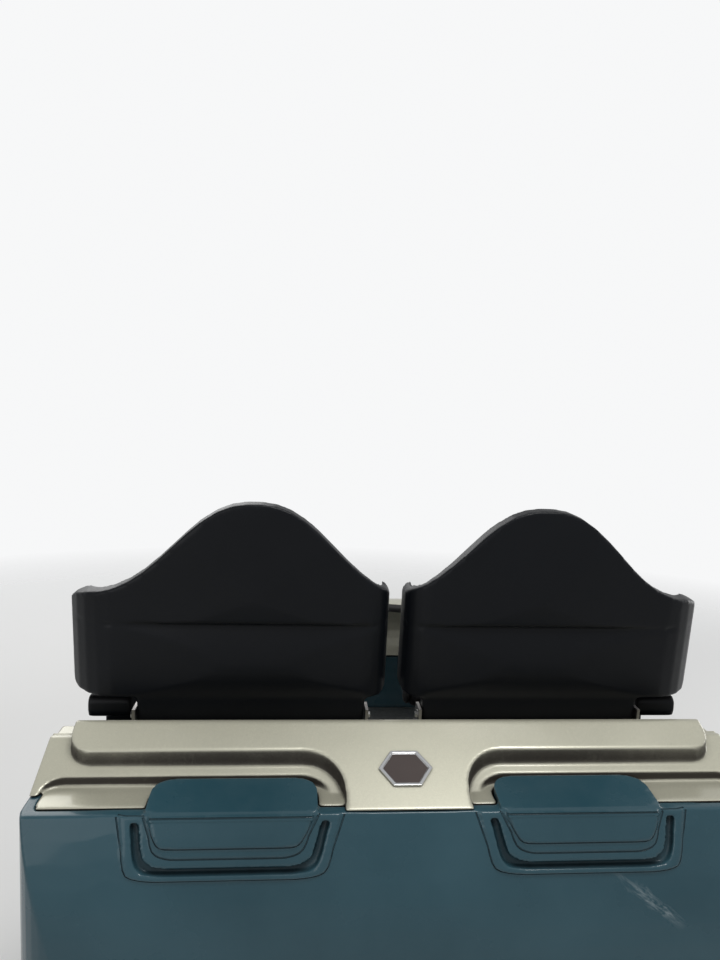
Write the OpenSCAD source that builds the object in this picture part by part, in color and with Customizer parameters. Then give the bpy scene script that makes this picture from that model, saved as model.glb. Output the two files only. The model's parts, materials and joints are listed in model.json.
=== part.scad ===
// Two-seat roller coaster car, the first of its train, on two steered axles, in millimetres.
// +Y points to the nose, +X to the right, +Z up; the car stands on its up-stop wheels at z = 0.

/* [Body] */
// Overall width of the moulded body
body_w = 1330; // [1290:10:1400]
// Length of the body from nose to tail
body_l = 1760; // [1720:10:1840]
// Thickness of the moulded panels
panel_t = 22; // [16:1:28]
// Lower edge of the side skirts above the floor
skirt_z = 430; // [400:5:450]
// Corner radius of the body in plan at the tail
tail_r = 85; // [60:5:110]
// Corner radius of the body in plan at the nose
nose_r = 300; // [240:10:340]
// Height of the tail's fullest point
tail_full_z = 800; // [760:5:860]
// How far the tail draws in at its upper edge
tail_draw = 52; // [30:1:70]
// How far the tail and nose draw in at the skirt
skirt_draw = 45; // [20:1:70]
// Height of the seam between the nose hood and the nose fascia
nose_seam_z = 740; // [700:5:790]
// Highest point of the nose hood
hood_z = 1075; // [1040:5:1100]
// Length of the nose hood from the tip to its open edge
hood_l = 430; // [400:5:450]
// Fall of the hood's arched top from the centre to the side
hood_arch = 95; // [70:5:110]
// Distance of the entry's rear end ahead of the seat backs
sill_start = 370; // [350:5:390]
// Distance of the entry's front end ahead of the seat backs
sill_end = 640; // [620:5:660]
// Height of the entry sill beside the footwell
sill_z = 745; // [700:5:790]
// Relief of the moulded line along each side
side_line = 5; // [3:1:8]

/* [Rear deck] */
// Height of the deck above the seat cushions
deck_h = 300; // [270:5:330]
// Slope of the deck's rear face in degrees
deck_slope = 27; // [22:1:32]
// Distance of the deck's upper edge behind the seat backs
deck_edge = 80; // [60:2:100]
// Fall of the deck ahead of that edge, under the seat backs
deck_fall = 42; // [36:1:50]
// Distance of the deck's rear seam behind the seat backs
deck_reach = 248; // [235:1:260]
// Half the width of the raised plinth
plinth_half = 618; // [590:2:630]
// Distance of the plinth's foot behind the seat backs
plinth_foot = 138; // [130:1:155]
// Drop from the plinth to the ledge below it
ledge_drop = 30; // [22:1:36]
// Width of the ledge between plinth and pocket
ledge_w = 19; // [14:1:28]
// Half the width of the bridge between the pockets at the seam
bridge_half = 112; // [90:2:130]
// Corner radius where the bridge meets the plinth
bridge_r = 75; // [50:5:90]
// Rim left outside each pocket
pocket_rim = 12; // [10:1:20]
// Width of the six-sided badge
badge_w = 100; // [90:2:120]
// Height of the badge against its width
badge_tall = 0.72; // [0.66:0.02:0.86]

/* [Tail fascia] */
// Distance of each tail moulding's centre from the middle
boss_x = 308; // [295:1:320]
// Width of each tail moulding
boss_w = 292; // [260:2:310]
// Drop of each tail moulding below the seam
boss_drop = 72; // [60:1:85]
// Height of each moulding's crown above the deck pocket
boss_rise = 14; // [8:1:20]
// Height of the bevel at each moulding's foot
boss_foot = 14; // [8:1:18]
// Distance of the groove around each moulding
groove_out = 18; // [14:1:22]
// Width of that groove
channel_w = 13; // [10:1:16]
// Depth of that groove
channel_t = 9; // [6:1:11]
// Width of the raised band outside the groove
band_w = 14; // [10:1:18]
// Height of that band above the fascia
band_t = 4; // [2:0.5:5]

/* [Seats] */
// Distance from the seat backs to the tail
tail_overhang = 300; // [290:1:320]
// Height of the cushions above the floor pan
cushion_h = 320; // [290:5:350]
// Centre of each seat from the middle
seat_x = 292; // [285:1:300]
// Inner end of each seat back from the middle
seat_in = 14; // [8:1:20]
// Outer end of each seat back from the middle
seat_out = 665; // [650:1:680]
// Height of the seat back's crown above the deck
crown_h = 417; // [390:1:440]
// Height of the seat back's shoulders above the deck
shoulder_h = 222; // [200:1:240]
// Spread of the bell-shaped crown
crown_s = 195; // [180:1:210]
// Height of the groove across the seat back above the deck
groove_h = 166; // [155:1:175]
// Lower edge of the wings above the deck
wing_h = 10; // [8:1:16]
// Half the width of the seat back below the wings
waist_half = 232; // [220:1:236]
// Recline of the seat backs in degrees
recline = 6; // [4:1:8]
// Thickness of the seat back shell
shell_t = 34; // [28:1:40]
// Thickness of the back pads
pad_t = 52; // [44:1:60]
// Depth of each seat cushion
cushion_d = 450; // [430:5:470]
// Thickness of each seat cushion
cushion_t = 85; // [70:5:100]
// Depth of the step that the seat backs stand on
riser_step = 95; // [90:1:105]
// Depth of the seat riser at the floor
riser_d = 500; // [480:5:520]
// Depth of the seat riser under the cushions
riser_top_d = 540; // [520:5:560]
// Width of each arm rest
arm_w = 87; // [70:1:95]
// Gap between each arm rest and its cushion
arm_side_gap = 13; // [8:1:18]
// Thickness of the arm rests' pads
arm_t = 46; // [40:1:60]
// Gap between each arm rest and the body's side
arm_gap = 16; // [12:1:20]
// Length of the arm rests' overhang behind their posts
arm_post = 140; // [120:5:160]
// Distance of the arm rests' rear ends ahead of the seat backs
arm_in = 30; // [20:5:50]

/* [Lap bars] */
// Diameter of the lap bars' tube
lap_d = 38; // [34:1:42]
// Bend radius of the lap bars' tube
lap_bend = 85; // [70:5:100]
// Diameter of the foam on each lap bar
foam_d = 92; // [80:2:100]
// Length of that foam
foam_l = 400; // [360:5:420]
// Distance of the lap bars' pivots ahead of the seat riser
lap_pivot_in = 195; // [180:5:210]
// Height of the lap bars' pivots above the floor pan
lap_pivot_h = 70; // [60:2:85]
// Distance of each closed lap bar ahead of the seat backs
lap_y = 400; // [390:1:410]
// Height of the closed lap bars above the cushions
lap_h = 170; // [160:2:190]
// Radius of the lap bars' pivot pins
lap_pin_r = 14; // [12:1:16]
// Radius of the eye in each floor bracket
bracket_eye_r = 30; // [26:1:34]
// Half the length of each bracket's foot plate
bracket_foot = 70; // [60:2:80]
// Width of the foot plate beside each bracket
bracket_side = 35; // [28:1:40]
// Width of the grab handle on each lap bar
grab_w = 150; // [130:5:170]

/* [Running gear] */
// Distance of the rear axle ahead of the tail
rear_overhang = 285; // [265:5:305]
// Distance of the front axle behind the nose
front_overhang = 415; // [395:5:435]
// Distance between the rail centres
gauge = 900; // [880:10:920]
// Diameter of the tubular rail the car is made for
rail_d = 100; // [90:1:110]
// Diameter of the road wheels
road_d = 250; // [230:2:260]
// Width of the road wheels
road_w = 70; // [60:2:76]
// Diameter of the side wheels
side_d = 150; // [130:2:160]
// Width of the side wheels
side_w = 50; // [40:2:56]
// Diameter of the up-stop wheels
upstop_d = 150; // [140:2:160]
// Width of the up-stop wheels
upstop_w = 60; // [50:2:66]
// Thickness of the polyurethane treads
tread_t = 18; // [14:1:20]
// Running gap between the rail and the up-stop wheels
upstop_gap = 3; // [2:0.5:5]
// Radius of the wheel pins
pin_r = 15; // [13:1:17]
// Thickness of the carrier plates
plate_t = 20; // [16:1:22]
// Distance of each side wheel ahead of its axle
side_ahead = 150; // [146:1:160]

/* [Chassis] */
// Width of the main beams
beam_w = 60; // [50:2:70]
// Height of the main beams
beam_h = 100; // [90:2:104]
// Distance of each main beam's centre from the middle
beam_x = 260; // [240:5:280]
// Height and depth of the axle beams
axle_h = 80; // [70:2:84]
// Radius of the kingpins
king_r = 25; // [20:1:30]
// Radius of the turntable plates
table_r = 105; // [95:1:120]
// Thickness of the floor pan
floor_t = 15; // [12:1:20]
// Reach of the drawbar behind the tail
drawbar_reach = 130; // [120:5:150]
// Distance from the tail to the drawbar's pivot
drawbar_root = 110; // [100:2:120]
// Distance of the front coupling's hole behind the nose
hitch_in = 60; // [50:2:80]
// Height of the coupling line above the floor
hitch_z = 372; // [365:1:380]
// Radius of the coupling pin holes
hitch_r = 15; // [12:1:18]
// Thickness of the drawbar's eye
eye_t = 30; // [24:1:34]
// Outer radius of the drawbar's eye
eye_r = 32; // [28:1:36]
// Depth of the front coupling
coupler_d = 120; // [110:5:130]
// Half the width of the front coupling's root
coupler_w = 60; // [50:2:70]
// Distance of the brake fin ahead of the rear axle
fin_ahead = 130; // [120:5:150]
// Distance of the brake fin's carriers from its ends
fin_tab = 130; // [110:5:150]
// Length of the brake fin's sloped ends
fin_slope = 70; // [50:5:80]
// Half the width of the brake fin's tabs
fin_side = 40; // [34:2:46]
// Half the length of the dogs' hangers
hanger_half = 40; // [34:1:46]
// Radius of the hangers' lower ends
hanger_r = 26; // [22:1:28]
// Half the length of the plate above the dogs
hanger_plate = 60; // [54:1:66]
// Gap between the floor plates and the lap bars' pins
step_gap = 75; // [65:1:85]
// Thickness of the brake fin
fin_t = 12; // [10:1:16]
// Distance of the dogs' pins behind the front axle
dog_back = 240; // [220:5:260]
// Distance of the dogs' pins ahead of the brake fin
dog_ahead = 190; // [170:5:210]
// Distance of the middle outriggers from the axles
outrigger_in = 210; // [200:5:220]
// Distance of the foremost outriggers behind the nose
outrigger_nose = 245; // [230:5:260]
// Distance of the foremost cross member behind the nose
member_nose = 150; // [140:5:160]

/* [Hidden] */
$fn = 48;
arc_n = 8;                 // points along a rounded corner
curve_n = 7;               // points along a moulded curve
seat_gap = 0.3;            // rest gap between soft parts and what carries them
run_gap = 0.05;            // radial clearance of a shaft in its bore
big = 4000;                // longer than the car, for cutting prisms

// Positions along the car
overall_l = body_l + drawbar_reach;
tail_y = -overall_l / 2 + drawbar_reach;
nose_y = tail_y + body_l;
seat_y = tail_y + tail_overhang;
hood_y = nose_y - hood_l;
tail_seam_y = seat_y - deck_edge / 2;
rear_axle = tail_y + rear_overhang;
front_axle = nose_y - front_overhang;

// Heights
rail_bottom = upstop_d + upstop_gap;
rail_z = rail_bottom + rail_d / 2;
rail_top = rail_bottom + rail_d;
road_z = rail_top + road_d / 2;
pan_z = rail_top + road_d + 12;
floor_z = pan_z + floor_t;
cushion_z = floor_z + cushion_h;
deck_z = cushion_z + deck_h;
beam_z = pan_z - beam_h;
riser_z = cushion_z - cushion_t - 40;
arm_x = body_w / 2 - panel_t - arm_gap;
cushion_w = 2 * min(arm_x - arm_w - arm_side_gap - seat_x, seat_x - 20);
line_z = deck_z - (deck_reach - deck_edge) * tan(deck_slope);
line_y = tail_y + tail_draw;
lip = 3;                   // thickness of the deck's edge above the panels
body_half = body_w / 2;

// Running gear across the car
rail_x = gauge / 2;
outer_plate_x = rail_x + rail_d / 2 + 3;
inner_plate_x = rail_x - road_w / 2 - 30;
side_wheel_x = rail_x + rail_d / 2 + 1 + side_d / 2;
table_t = 15;
table_gap = 0.5;
axle_z = beam_z - table_gap - table_t - axle_h / 2;

// Colours
teal = [0.16, 0.29, 0.35];
champagne = [0.62, 0.58, 0.45];
shell_grey = [0.10, 0.11, 0.13];
vinyl = [0.07, 0.07, 0.08];
steel_paint = [0.20, 0.21, 0.23];
bright = [0.62, 0.63, 0.65];

function arc(cx, cy, r, a0, a1, n = arc_n) =
    [for (i = [0:n]) let (a = a0 + (a1 - a0) * i / n) [cx + r * cos(a), cy + r * sin(a)]];
function ease(t) = t * t * (3 - 2 * t);
function fade(a, b, n = curve_n) =
    [for (i = [0:n]) let (t = i / n) [a[0] + (b[0] - a[0]) * t, a[1] + (b[1] - a[1]) * ease(t)]];

// Prisms along the three axes, from an outline in the other two
module along_x(x0, x1) {
    translate([x0, 0, 0]) rotate([90, 0, 90]) linear_extrude(x1 - x0) children();
}
module along_y(y0, y1) {
    translate([0, y1, 0]) rotate([90, 0, 0]) linear_extrude(y1 - y0) children();
}
module along_z(z0, z1) {
    translate([0, 0, z0]) linear_extrude(z1 - z0) children();
}
module both_sides() {
    children();
    mirror([1, 0, 0]) children();
}
module box(x0, x1, y0, y1, z0, z1) {
    translate([x0, y0, z0]) cube([x1 - x0, y1 - y0, z1 - z0]);
}
module rod_x(r, x0, x1, y, z) {
    translate([x0, y, z]) rotate([0, 90, 0]) cylinder(r = r, h = x1 - x0);
}
module rod_z(r, z0, z1, x, y) {
    translate([x, y, z0]) cylinder(r = r, h = z1 - z0);
}

// The body's envelope: plan outline and side profile, both drawn in by i
module plan2d(i) {
    h = body_half - i;
    r1 = tail_r - i / 2;
    r2 = nose_r - i / 2;
    polygon(concat(
        arc(-h + r1, tail_y + i + r1, r1, 180, 270),
        arc(h - r1, tail_y + i + r1, r1, 270, 360),
        arc(h - r2, nose_y - i - r2, r2, 0, 90, 14),
        arc(-h + r2, nose_y - i - r2, r2, 90, 180, 14)));
}
function tail_pt(z) = tail_y + (z > tail_full_z
    ? tail_draw * pow((z - tail_full_z) / (line_z - tail_full_z), 2)
    : skirt_draw * pow((tail_full_z - z) / (tail_full_z - skirt_z), 2));
function nose_pt(z) = nose_y - skirt_draw * pow((nose_seam_z - z) / (nose_seam_z - skirt_z), 2);
module profile2d(i, open) {
    n = curve_n;
    nose = open ? [[nose_y - i, line_z + 60]] : [for (k = [1:12]) let (a = 90 * k / 12)
        [hood_y + (hood_l - i) * cos(a), nose_seam_z + (hood_z - nose_seam_z - i) * sin(a)]];
    polygon(concat(
        [for (k = [0:n]) let (z = line_z + (tail_full_z - line_z) * k / n) [tail_pt(z) + i, z]],
        [for (k = [1:n]) let (z = tail_full_z + (skirt_z - tail_full_z) * k / n) [tail_pt(z) + i, z]],
        [for (k = [0:n]) let (z = skirt_z + (nose_seam_z - skirt_z) * k / n) [nose_pt(z) - i, z]],
        nose, [[tail_pt(line_z) + i, open ? line_z + 60 : hood_z - i]]));
}
module envelope(i, open = true) {
    intersection() {
        along_z(skirt_z, line_z + 50) plan2d(i);
        along_x(-body_half, body_half) profile2d(i, open);
    }
}
module skin() {
    difference() {
        envelope(0);
        envelope(panel_t);
        // moulded lines that run round the car
        for (z = [skirt_z + 70, skirt_z + 92]) difference() {
            box(-body_half - 1, body_half + 1, tail_y - 1, nose_y + 1, z, z + 8);
            envelope(side_line);
        }
    }
}

// Upper edge of the sides: deck, sill, hood
hood_side_z = hood_z - hood_arch;
function side_top() = concat(
    [[tail_y - 1, line_z - lip - seat_gap]],
    fade([seat_y + 40, line_z - lip - seat_gap], [seat_y + sill_start, sill_z]),
    fade([seat_y + sill_end, sill_z], [hood_y + 1, hood_side_z]),
    [[nose_y, hood_side_z]]);
module below_side_top() {
    along_x(-big, big) polygon(concat(side_top(), [[nose_y, 0], [tail_y - 1, 0]]));
}

module side_panel() {
    color(teal) intersection() {
        skin();
        below_side_top();
        box(0, body_half, tail_seam_y, hood_y, 0, line_z);
    }
}
module side_panel_right() { side_panel(); }
module side_panel_left() { mirror([1, 0, 0]) side_panel(); }

// The arched gold hood over the front footwell, and the fascia below it
module arch2d(i) {
    n = 12;
    polygon(concat(
        [for (k = [-n:n]) let (x = (body_half - i) * k / n)
            [x, hood_z - i - hood_arch * pow(x / body_half, 2)]],
        [[body_half - i, 0], [-body_half + i, 0]]));
}
module hood_form(i) {
    intersection() {
        envelope(i, false);
        along_y(hood_y - 1, nose_y + 1) arch2d(i);
    }
}
module nose_hood() {
    color(champagne) intersection() {
        difference() {
            hood_form(0);
            hood_form(panel_t);
        }
        box(-body_half, body_half, hood_y, nose_y, nose_seam_z, hood_z);
    }
}
module nose_fascia() {
    color(teal) intersection() {
        skin();
        box(-body_half, body_half, hood_y, nose_y, 0, nose_seam_z);
    }
}

module floor_pan() {
    color(steel_paint) intersection() {
        envelope(panel_t);
        box(-body_half, body_half, tail_y, nose_y, pan_z, floor_z);
    }
}

// Rear deck: plinth and bridge on the sloping face, a ledge round the pockets, and a flat shelf in them
function deck_face(y, drop) = deck_z - drop + (y - seat_y + deck_edge) * tan(deck_slope);
module deck_wedge(drop) {
    r = 14;
    y0 = seat_y - deck_reach;
    y1 = seat_y - 3;
    ye = seat_y - deck_edge;
    t = r * tan(deck_slope / 2);
    z1 = deck_z - deck_fall;
    along_x(-big, big) polygon(concat(
        [[y1, line_z - 30], [y0, line_z - 30], [y0, deck_face(y0, drop)]],
        arc(ye + t, deck_z - drop - r, r, 90 + deck_slope, 10, 6),
        [[ye + t + r, z1 + 12], [ye + t + r + 8, z1], [y1, z1]]));
}
module plinth2d() {
    y0 = seat_y - plinth_foot;
    y1 = seat_y - 3;
    r = 42;
    polygon(concat(
        arc(-plinth_half + r, y0 + r, r, 180, 270, 6),
        arc(plinth_half - r, y0 + r, r, 270, 360, 6),
        [[plinth_half, y1], [-plinth_half, y1]]));
}
module bridge2d(out) {
    y0 = seat_y - deck_reach - 1;
    y1 = seat_y - plinth_foot - out;
    half = [for (p = arc(bridge_half + out + bridge_r, y1 - bridge_r, bridge_r, 180, 90)) p];
    rest = y1 + out + 10;
    polygon(concat([[bridge_half + out, y0]], half, [[half[arc_n][0], rest], [-half[arc_n][0], rest]],
        [for (k = [arc_n:-1:0]) [-half[k][0], half[k][1]]], [[-bridge_half - out, y0]]));
}
module pocket2d() {
    y0 = seat_y - deck_reach - 1;
    y1 = seat_y - plinth_foot - ledge_w;
    x0 = bridge_half + 16;
    x1 = body_half - pocket_rim;
    r = bridge_r - 12;
    polygon(concat([[x0, y0]], arc(x0 + r, y1 - r, r, 180, 90), arc(x1 - 40, y1 - 40, 40, 90, 0), [[x1, y0]]));
}
module rear_deck() {
    color(champagne) difference() {
        union() {
            // shelf, ledge, then plinth with its bridge
            intersection() {
                envelope_deck();
                box(-body_half, body_half, tail_y, seat_y - 3, line_z - 26, line_z - 1);
            }
            difference() {
                intersection() {
                    envelope_deck();
                    deck_wedge(ledge_drop);
                }
                both_sides() along_z(line_z - 1, deck_z + 1) pocket2d();
            }
            intersection() {
                envelope_deck();
                deck_wedge(0);
                along_z(line_z - 30, deck_z) union() {
                    plinth2d();
                    bridge2d(0);
                }
            }
        }
        // rebate that drops over the panels
        difference() {
            box(-big, big, tail_y - 1, seat_y, line_z - 31, line_z - lip);
            along_z(line_z - 32, line_z) plan_deck2d(panel_t + 2);
        }
        both_sides() boss_room(2);
    }
}
// The deck's own plan: the tail's outline where the profile meets the seam
module plan_deck2d(i) {
    h = body_half - i;
    y0 = line_y + i;
    r = tail_r - i / 2;
    yc = tail_y + i + r;
    a = asin(max(-1, min(0, (y0 - yc) / r)));
    polygon(concat(arc(-h + r, yc, r, 180, 180 - a, 6), arc(h - r, yc, r, 360 + a, 360, 6),
        [[h, seat_y - 3], [-h, seat_y - 3]]));
}
module envelope_deck() {
    along_z(line_z - 30, deck_z) plan_deck2d(0);
}

// Tail moulding that wraps over the seam on each side, with a channel round its foot
module boss2d(out, rise = 0) {
    w = boss_w / 2 + out;
    z0 = line_z - boss_drop - out + rise;
    r = 42 + out / 2;
    polygon(concat([[boss_x + w, line_z + 40]],
        arc(boss_x + w - r - 12, z0 + r, r, -12, -90),
        arc(boss_x - w + r + 12, z0 + r, r, 270, 192), [[boss_x - w, line_z + 40]]));
}
module boss_room(out) {
    w = boss_w / 2 + out;
    y0 = line_y - 1;
    y1 = seat_y - plinth_foot - ledge_w - 6 + out;
    r = 38;
    along_z(line_z - 32, line_z + boss_rise + 40) polygon(concat([[boss_x - w, y0]],
        arc(boss_x - w + r, y1 - r, r, 180, 90, 6), arc(boss_x + w - r, y1 - r, r, 90, 0, 6),
        [[boss_x + w, y0]]));
}
module boss() {
    proud = 12;
    // upper half, over the shelf
    intersection() {
        boss_room(0);
        union() {
            along_x(0, body_half) polygon([
                [line_y - proud, line_z], [seat_y - plinth_foot, line_z],
                [seat_y - plinth_foot, line_z + boss_rise + 4], [line_y + 10, line_z + boss_rise],
                [line_y - proud / 2, line_z + boss_rise - 8]]);
            box(0, body_half, line_y, seat_y - plinth_foot, line_z - 27, line_z + 1);
        }
    }
    // lower half, proud of the fascia: a core that ends in a seam below the shelf, on a lower foot
    for (layer = [[boss_foot, proud, 5], [0, proud - 5, 0]]) intersection() {
        along_y(tail_y - proud - 1, tail_y + 80) boss2d(0, layer[0]);
        translate([0, -layer[1], 0]) envelope(0);
        box(0, body_half, tail_y - proud, line_y + panel_t, line_z - boss_drop - 1, line_z - layer[2]);
    }
}
// The raised band round each moulding's groove
module boss_band() {
    intersection() {
        along_y(tail_y - band_t - 1, line_y + panel_t) boss2d(groove_out + channel_w + band_w);
        difference() {
            translate([0, -band_t, 0]) envelope(0);
            envelope(panel_t);
        }
        box(0, body_half, tail_y - band_t - 1, line_y + panel_t, 0, line_z - lip - seat_gap);
    }
}
module rear_fascia() {
    color(teal) union() {
        difference() {
            union() {
                intersection() {
                    skin();
                    box(-body_half, body_half, tail_y - 20, tail_seam_y, 0, line_z - lip - seat_gap);
                }
                both_sides() boss_band();
            }
            both_sides() difference() {
                intersection() {
                    along_y(tail_y - 30, line_y + 2 * panel_t) difference() {
                        boss2d(groove_out + channel_w);
                        boss2d(groove_out);
                    }
                    box(0, body_half, tail_y - 30, line_y + 2 * panel_t, 0, line_z - 16);
                }
                envelope(channel_t);
            }
        }
        both_sides() boss();
    }
}
module rear_badge() {
    r = badge_w / 2;
    y = seat_y - (deck_edge + deck_reach) / 2 - 12;
    translate([0, y, deck_face(y, 0) + 0.02]) rotate([deck_slope, 0, 0]) color(bright) difference() {
        linear_extrude(5) polygon([for (k = [0:5]) [r * cos(60 * k), badge_tall * r * sin(60 * k) / sin(60)]]);
        translate([0, 0, 3]) linear_extrude(3) scale(0.86)
            polygon([for (k = [0:5]) [r * cos(60 * k), badge_tall * r * sin(60 * k) / sin(60)]]);
    }
}

// Seat back: layers between two offsets of one curved form, cut to the outline wanted
module back_plan2d(i) {
    r_out = 112;
    r_in = 58;
    polygon([for (p = concat(
        arc(seat_out - r_out + 8, r_out + 4, r_out - i, 0, -84, 6),
        [[seat_x, -12 + i]],
        arc(seat_in + r_in, r_in, r_in - i / 2, -96, -180, 5),
        [[seat_in - 10 + i / 2, 150], [seat_out + 8 - i, 150]])) p]);
}
module back_side2d(i) {
    zg = deck_z + groove_h;
    zw = deck_z + wing_h;
    polygon(concat(
        [[170, cushion_z - 180], [4 + i, cushion_z - 180], [4 + i, zw - 4]],
        [for (k = [0:8]) let (a = 180 * k / 8) [4 - 12 * sin(a) + i, zw + (zg - zw) * k / 8]],
        [[10 + i, zg + 1], [10 + i, zg + 5], [-4 + i, zg + 8], [-12 + i, zg + 60],
        [2 + i, deck_z + crown_h + 1], [170, deck_z + crown_h + 1]]));
}
module back_form(i) {
    intersection() {
        along_z(cushion_z - 180, deck_z + crown_h + 1) back_plan2d(i);
        along_x(0, body_half + 40) back_side2d(i);
    }
}
module back_layer(i0, i1, y_max) {
    difference() {
        intersection() {
            back_form(i0);
            box(0, body_half + 40, -40, y_max, 0, deck_z + crown_h + 2);
            children();
        }
        back_form(i1);
    }
}
// Outline of the seat back above z0: a bell-shaped crown on wide shoulders
function bell(d, inset) = deck_z + shoulder_h - inset
    + (crown_h - shoulder_h) * exp(-pow(abs(d) / (crown_s - inset), 2.5));
module crown2d(inset, z0, x1 = seat_out) {
    a = seat_in + inset;
    b = x1 - inset;
    r = 36;
    n = 22;
    polygon(concat(
        [[b, z0], [b, bell(b - seat_x - r, inset) - r * 0.7]],
        [for (k = [0:n]) let (x = b - r * 0.45 + (a + 10 - b + r * 0.45) * k / n)
            [x, bell(x - seat_x, inset) - (k == 0 ? 9 : k == n ? 3 : 0)]],
        [[a, bell(a - seat_x, inset) - 14], [a, z0]]));
}
module wing2d(inset, z0, z1, x1 = seat_out) {
    a = seat_in + inset;
    b = x1 - inset;
    r = 18;
    polygon(concat([[b, z1]], arc(b - r, z0 + r, r, 0, -90, 5), arc(a + r, z0 + r, r, 270, 180, 5), [[a, z1]]));
}
module waist2d(inset, z0, z1) {
    w = waist_half - inset;
    polygon([[seat_x - w + 12, z0], [seat_x + w - 12, z0], [seat_x + w, z1], [seat_x - w, z1]]);
}
module leaning(y) {
    translate([0, y, deck_z + wing_h]) rotate([recline, 0, 0]) translate([0, 0, -deck_z - wing_h]) children();
}
module seat_shell() {
    y = seat_y;
    zg = deck_z + groove_h;
    color(shell_grey) difference() {
        leaning(y) difference() {
            union() {
                back_layer(0, shell_t, 78) along_y(-60, 200) crown2d(0, zg - 1);
                back_layer(0, shell_t, 78) along_y(-60, 200) wing2d(0, deck_z + wing_h, zg);
                back_layer(0, shell_t, 60) along_y(-60, 200) waist2d(0, cushion_z - 170, deck_z + wing_h + 20);
            }
            back_layer(-20, 9, 60) along_y(-60, 200)
                polygon([[0, zg - 3], [big, zg - 3], [big, zg + 3], [0, zg + 3]]);
        }
        // foot, seated on the riser's step
        box(0, body_half, y - 100, y + 200, 0, riser_z);
    }
}
module back_pad() {
    y = seat_y;
    zg = deck_z + groove_h;
    i0 = shell_t + seat_gap;
    i1 = shell_t + pad_t;
    color(vinyl) leaning(y) {
        back_layer(i0, i1, 130) along_y(0, 300) crown2d(16, zg + 4);
        back_layer(i0, i1, 130) along_y(0, 300) wing2d(10, deck_z + wing_h + 8, zg - 4);
        back_layer(i0, i1, 130) along_y(0, 300) waist2d(14, cushion_z + 12, deck_z + wing_h);
    }
}
module seat_cushion() {
    y = seat_y;
    z1 = cushion_z;
    z0 = z1 - cushion_t;
    y0 = y + shell_t + pad_t + 30;
    y1 = y0 + cushion_d;
    r = cushion_t / 2;
    color(vinyl) along_x(seat_x - cushion_w / 2, seat_x + cushion_w / 2)
        polygon(concat([[y0, z0], [y1 - r, z0]], arc(y1 - r, z0 + r, r, -90, 90, 10),
            [[y1 - cushion_d / 4, z1], [y0 + cushion_d / 5, z1 - 12], [y0, z1 - 4]]));
}
module seat_riser() {
    y = seat_y;
    color(shell_grey) along_x(-body_half + panel_t + 0.5, body_half - panel_t - 0.5)
        polygon([[y + 8, floor_z], [y + riser_d, floor_z], [y + riser_top_d, cushion_z - cushion_t],
            [y + riser_step, cushion_z - cushion_t], [y + riser_step, riser_z], [y + 8, riser_z]]);
}
// Moulded arm rests on the riser, each a pad on a post between the cushion and the side
module arm_rests() {
    y = seat_y + arm_in;
    z0 = cushion_z - cushion_t;
    z1 = deck_z + wing_h - 8;
    front = seat_y + riser_step + cushion_d * 0.6;
    post = y + arm_post;
    color(shell_grey) both_sides() along_x(arm_x - arm_w, arm_x) polygon(concat(
        [[post, z0], [front, z0]],
        arc(front - 34, z1 - arm_t - 40, 60, 10, 82, 5),
        arc(y + 12, z1 - 12, 12, 90, 180, 3), arc(y + 12, z1 - arm_t + 12, 12, 180, 270, 3),
        [[post - 34, z1 - arm_t - 4], [post, z1 - arm_t - 40]]));
}
// Steel angles that stand on the riser's step and hold the backs at their lower sides
module seat_brackets() {
    x = waist_half + 1;
    foot = seat_y + riser_step - 5;
    color(bright) both_sides() for (s = [-1, 1]) translate([seat_x, 0, 0]) mirror([s < 0 ? 1 : 0, 0, 0]) {
        along_x(x, x + 6) polygon([[seat_y + 10, riser_z], [foot, riser_z],
            [seat_y + 62, deck_z - 60], [seat_y + 40, deck_z - 12], [seat_y - 1, deck_z - 12]]);
        box(x + 5, x + 34, seat_y + 10, foot, riser_z, riser_z + 6);
    }
}
// Ribbed aluminium treads in the footwell and on the sill
module step_plates() {
    y0 = seat_y + riser_top_d + 20;
    y1 = hood_y - 20;
    color(bright) union() {
        box(-body_half + panel_t + 14, body_half - panel_t - 14, y0, lap_pivot[0] - step_gap, floor_z, floor_z + 3);
        for (k = [0:5]) box(-body_half + panel_t + 30, body_half - panel_t - 30,
            y0 + 8 + k * 14, y0 + 14 + k * 14, floor_z + 2.9, floor_z + 5);
    }
}

// Lap bar: a stem from the floor between the rider's legs, bent back over the lap, with a cross bar
lap_pivot = [seat_y + riser_top_d + lap_pivot_in, floor_z + lap_pivot_h];
lap_end = [seat_y + lap_y, cushion_z + lap_h];
hub_r = lap_pin_r + 12;
hub_l = 90;
module lap_bar() {
    r = lap_d / 2;
    color(bright) translate([seat_x, 0, 0]) difference() {
        union() {
            rod_x(hub_r, -hub_l / 2, hub_l / 2, lap_pivot[0], lap_pivot[1]);
            translate([0, lap_pivot[0], lap_pivot[1]]) cylinder(r = r, h = lap_end[1] - lap_bend - lap_pivot[1]);
            translate([0, lap_pivot[0] - lap_bend, lap_end[1] - lap_bend]) rotate([90, 0, -90])
                mirror([1, 0, 0]) rotate_extrude(angle = 90) translate([lap_bend, 0]) circle(r = r);
            translate([0, lap_pivot[0] - lap_bend, lap_end[1]]) rotate([90, 0, 0])
                cylinder(r = r, h = lap_pivot[0] - lap_bend - lap_end[0]);
            rod_x(r - 4, -foam_l / 2 - 12, foam_l / 2 + 12, lap_end[0], lap_end[1]);
            grab_handle(r * 0.6);
        }
        rod_x(lap_pin_r + run_gap, -hub_l, hub_l, lap_pivot[0], lap_pivot[1]);
    }
}
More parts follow.
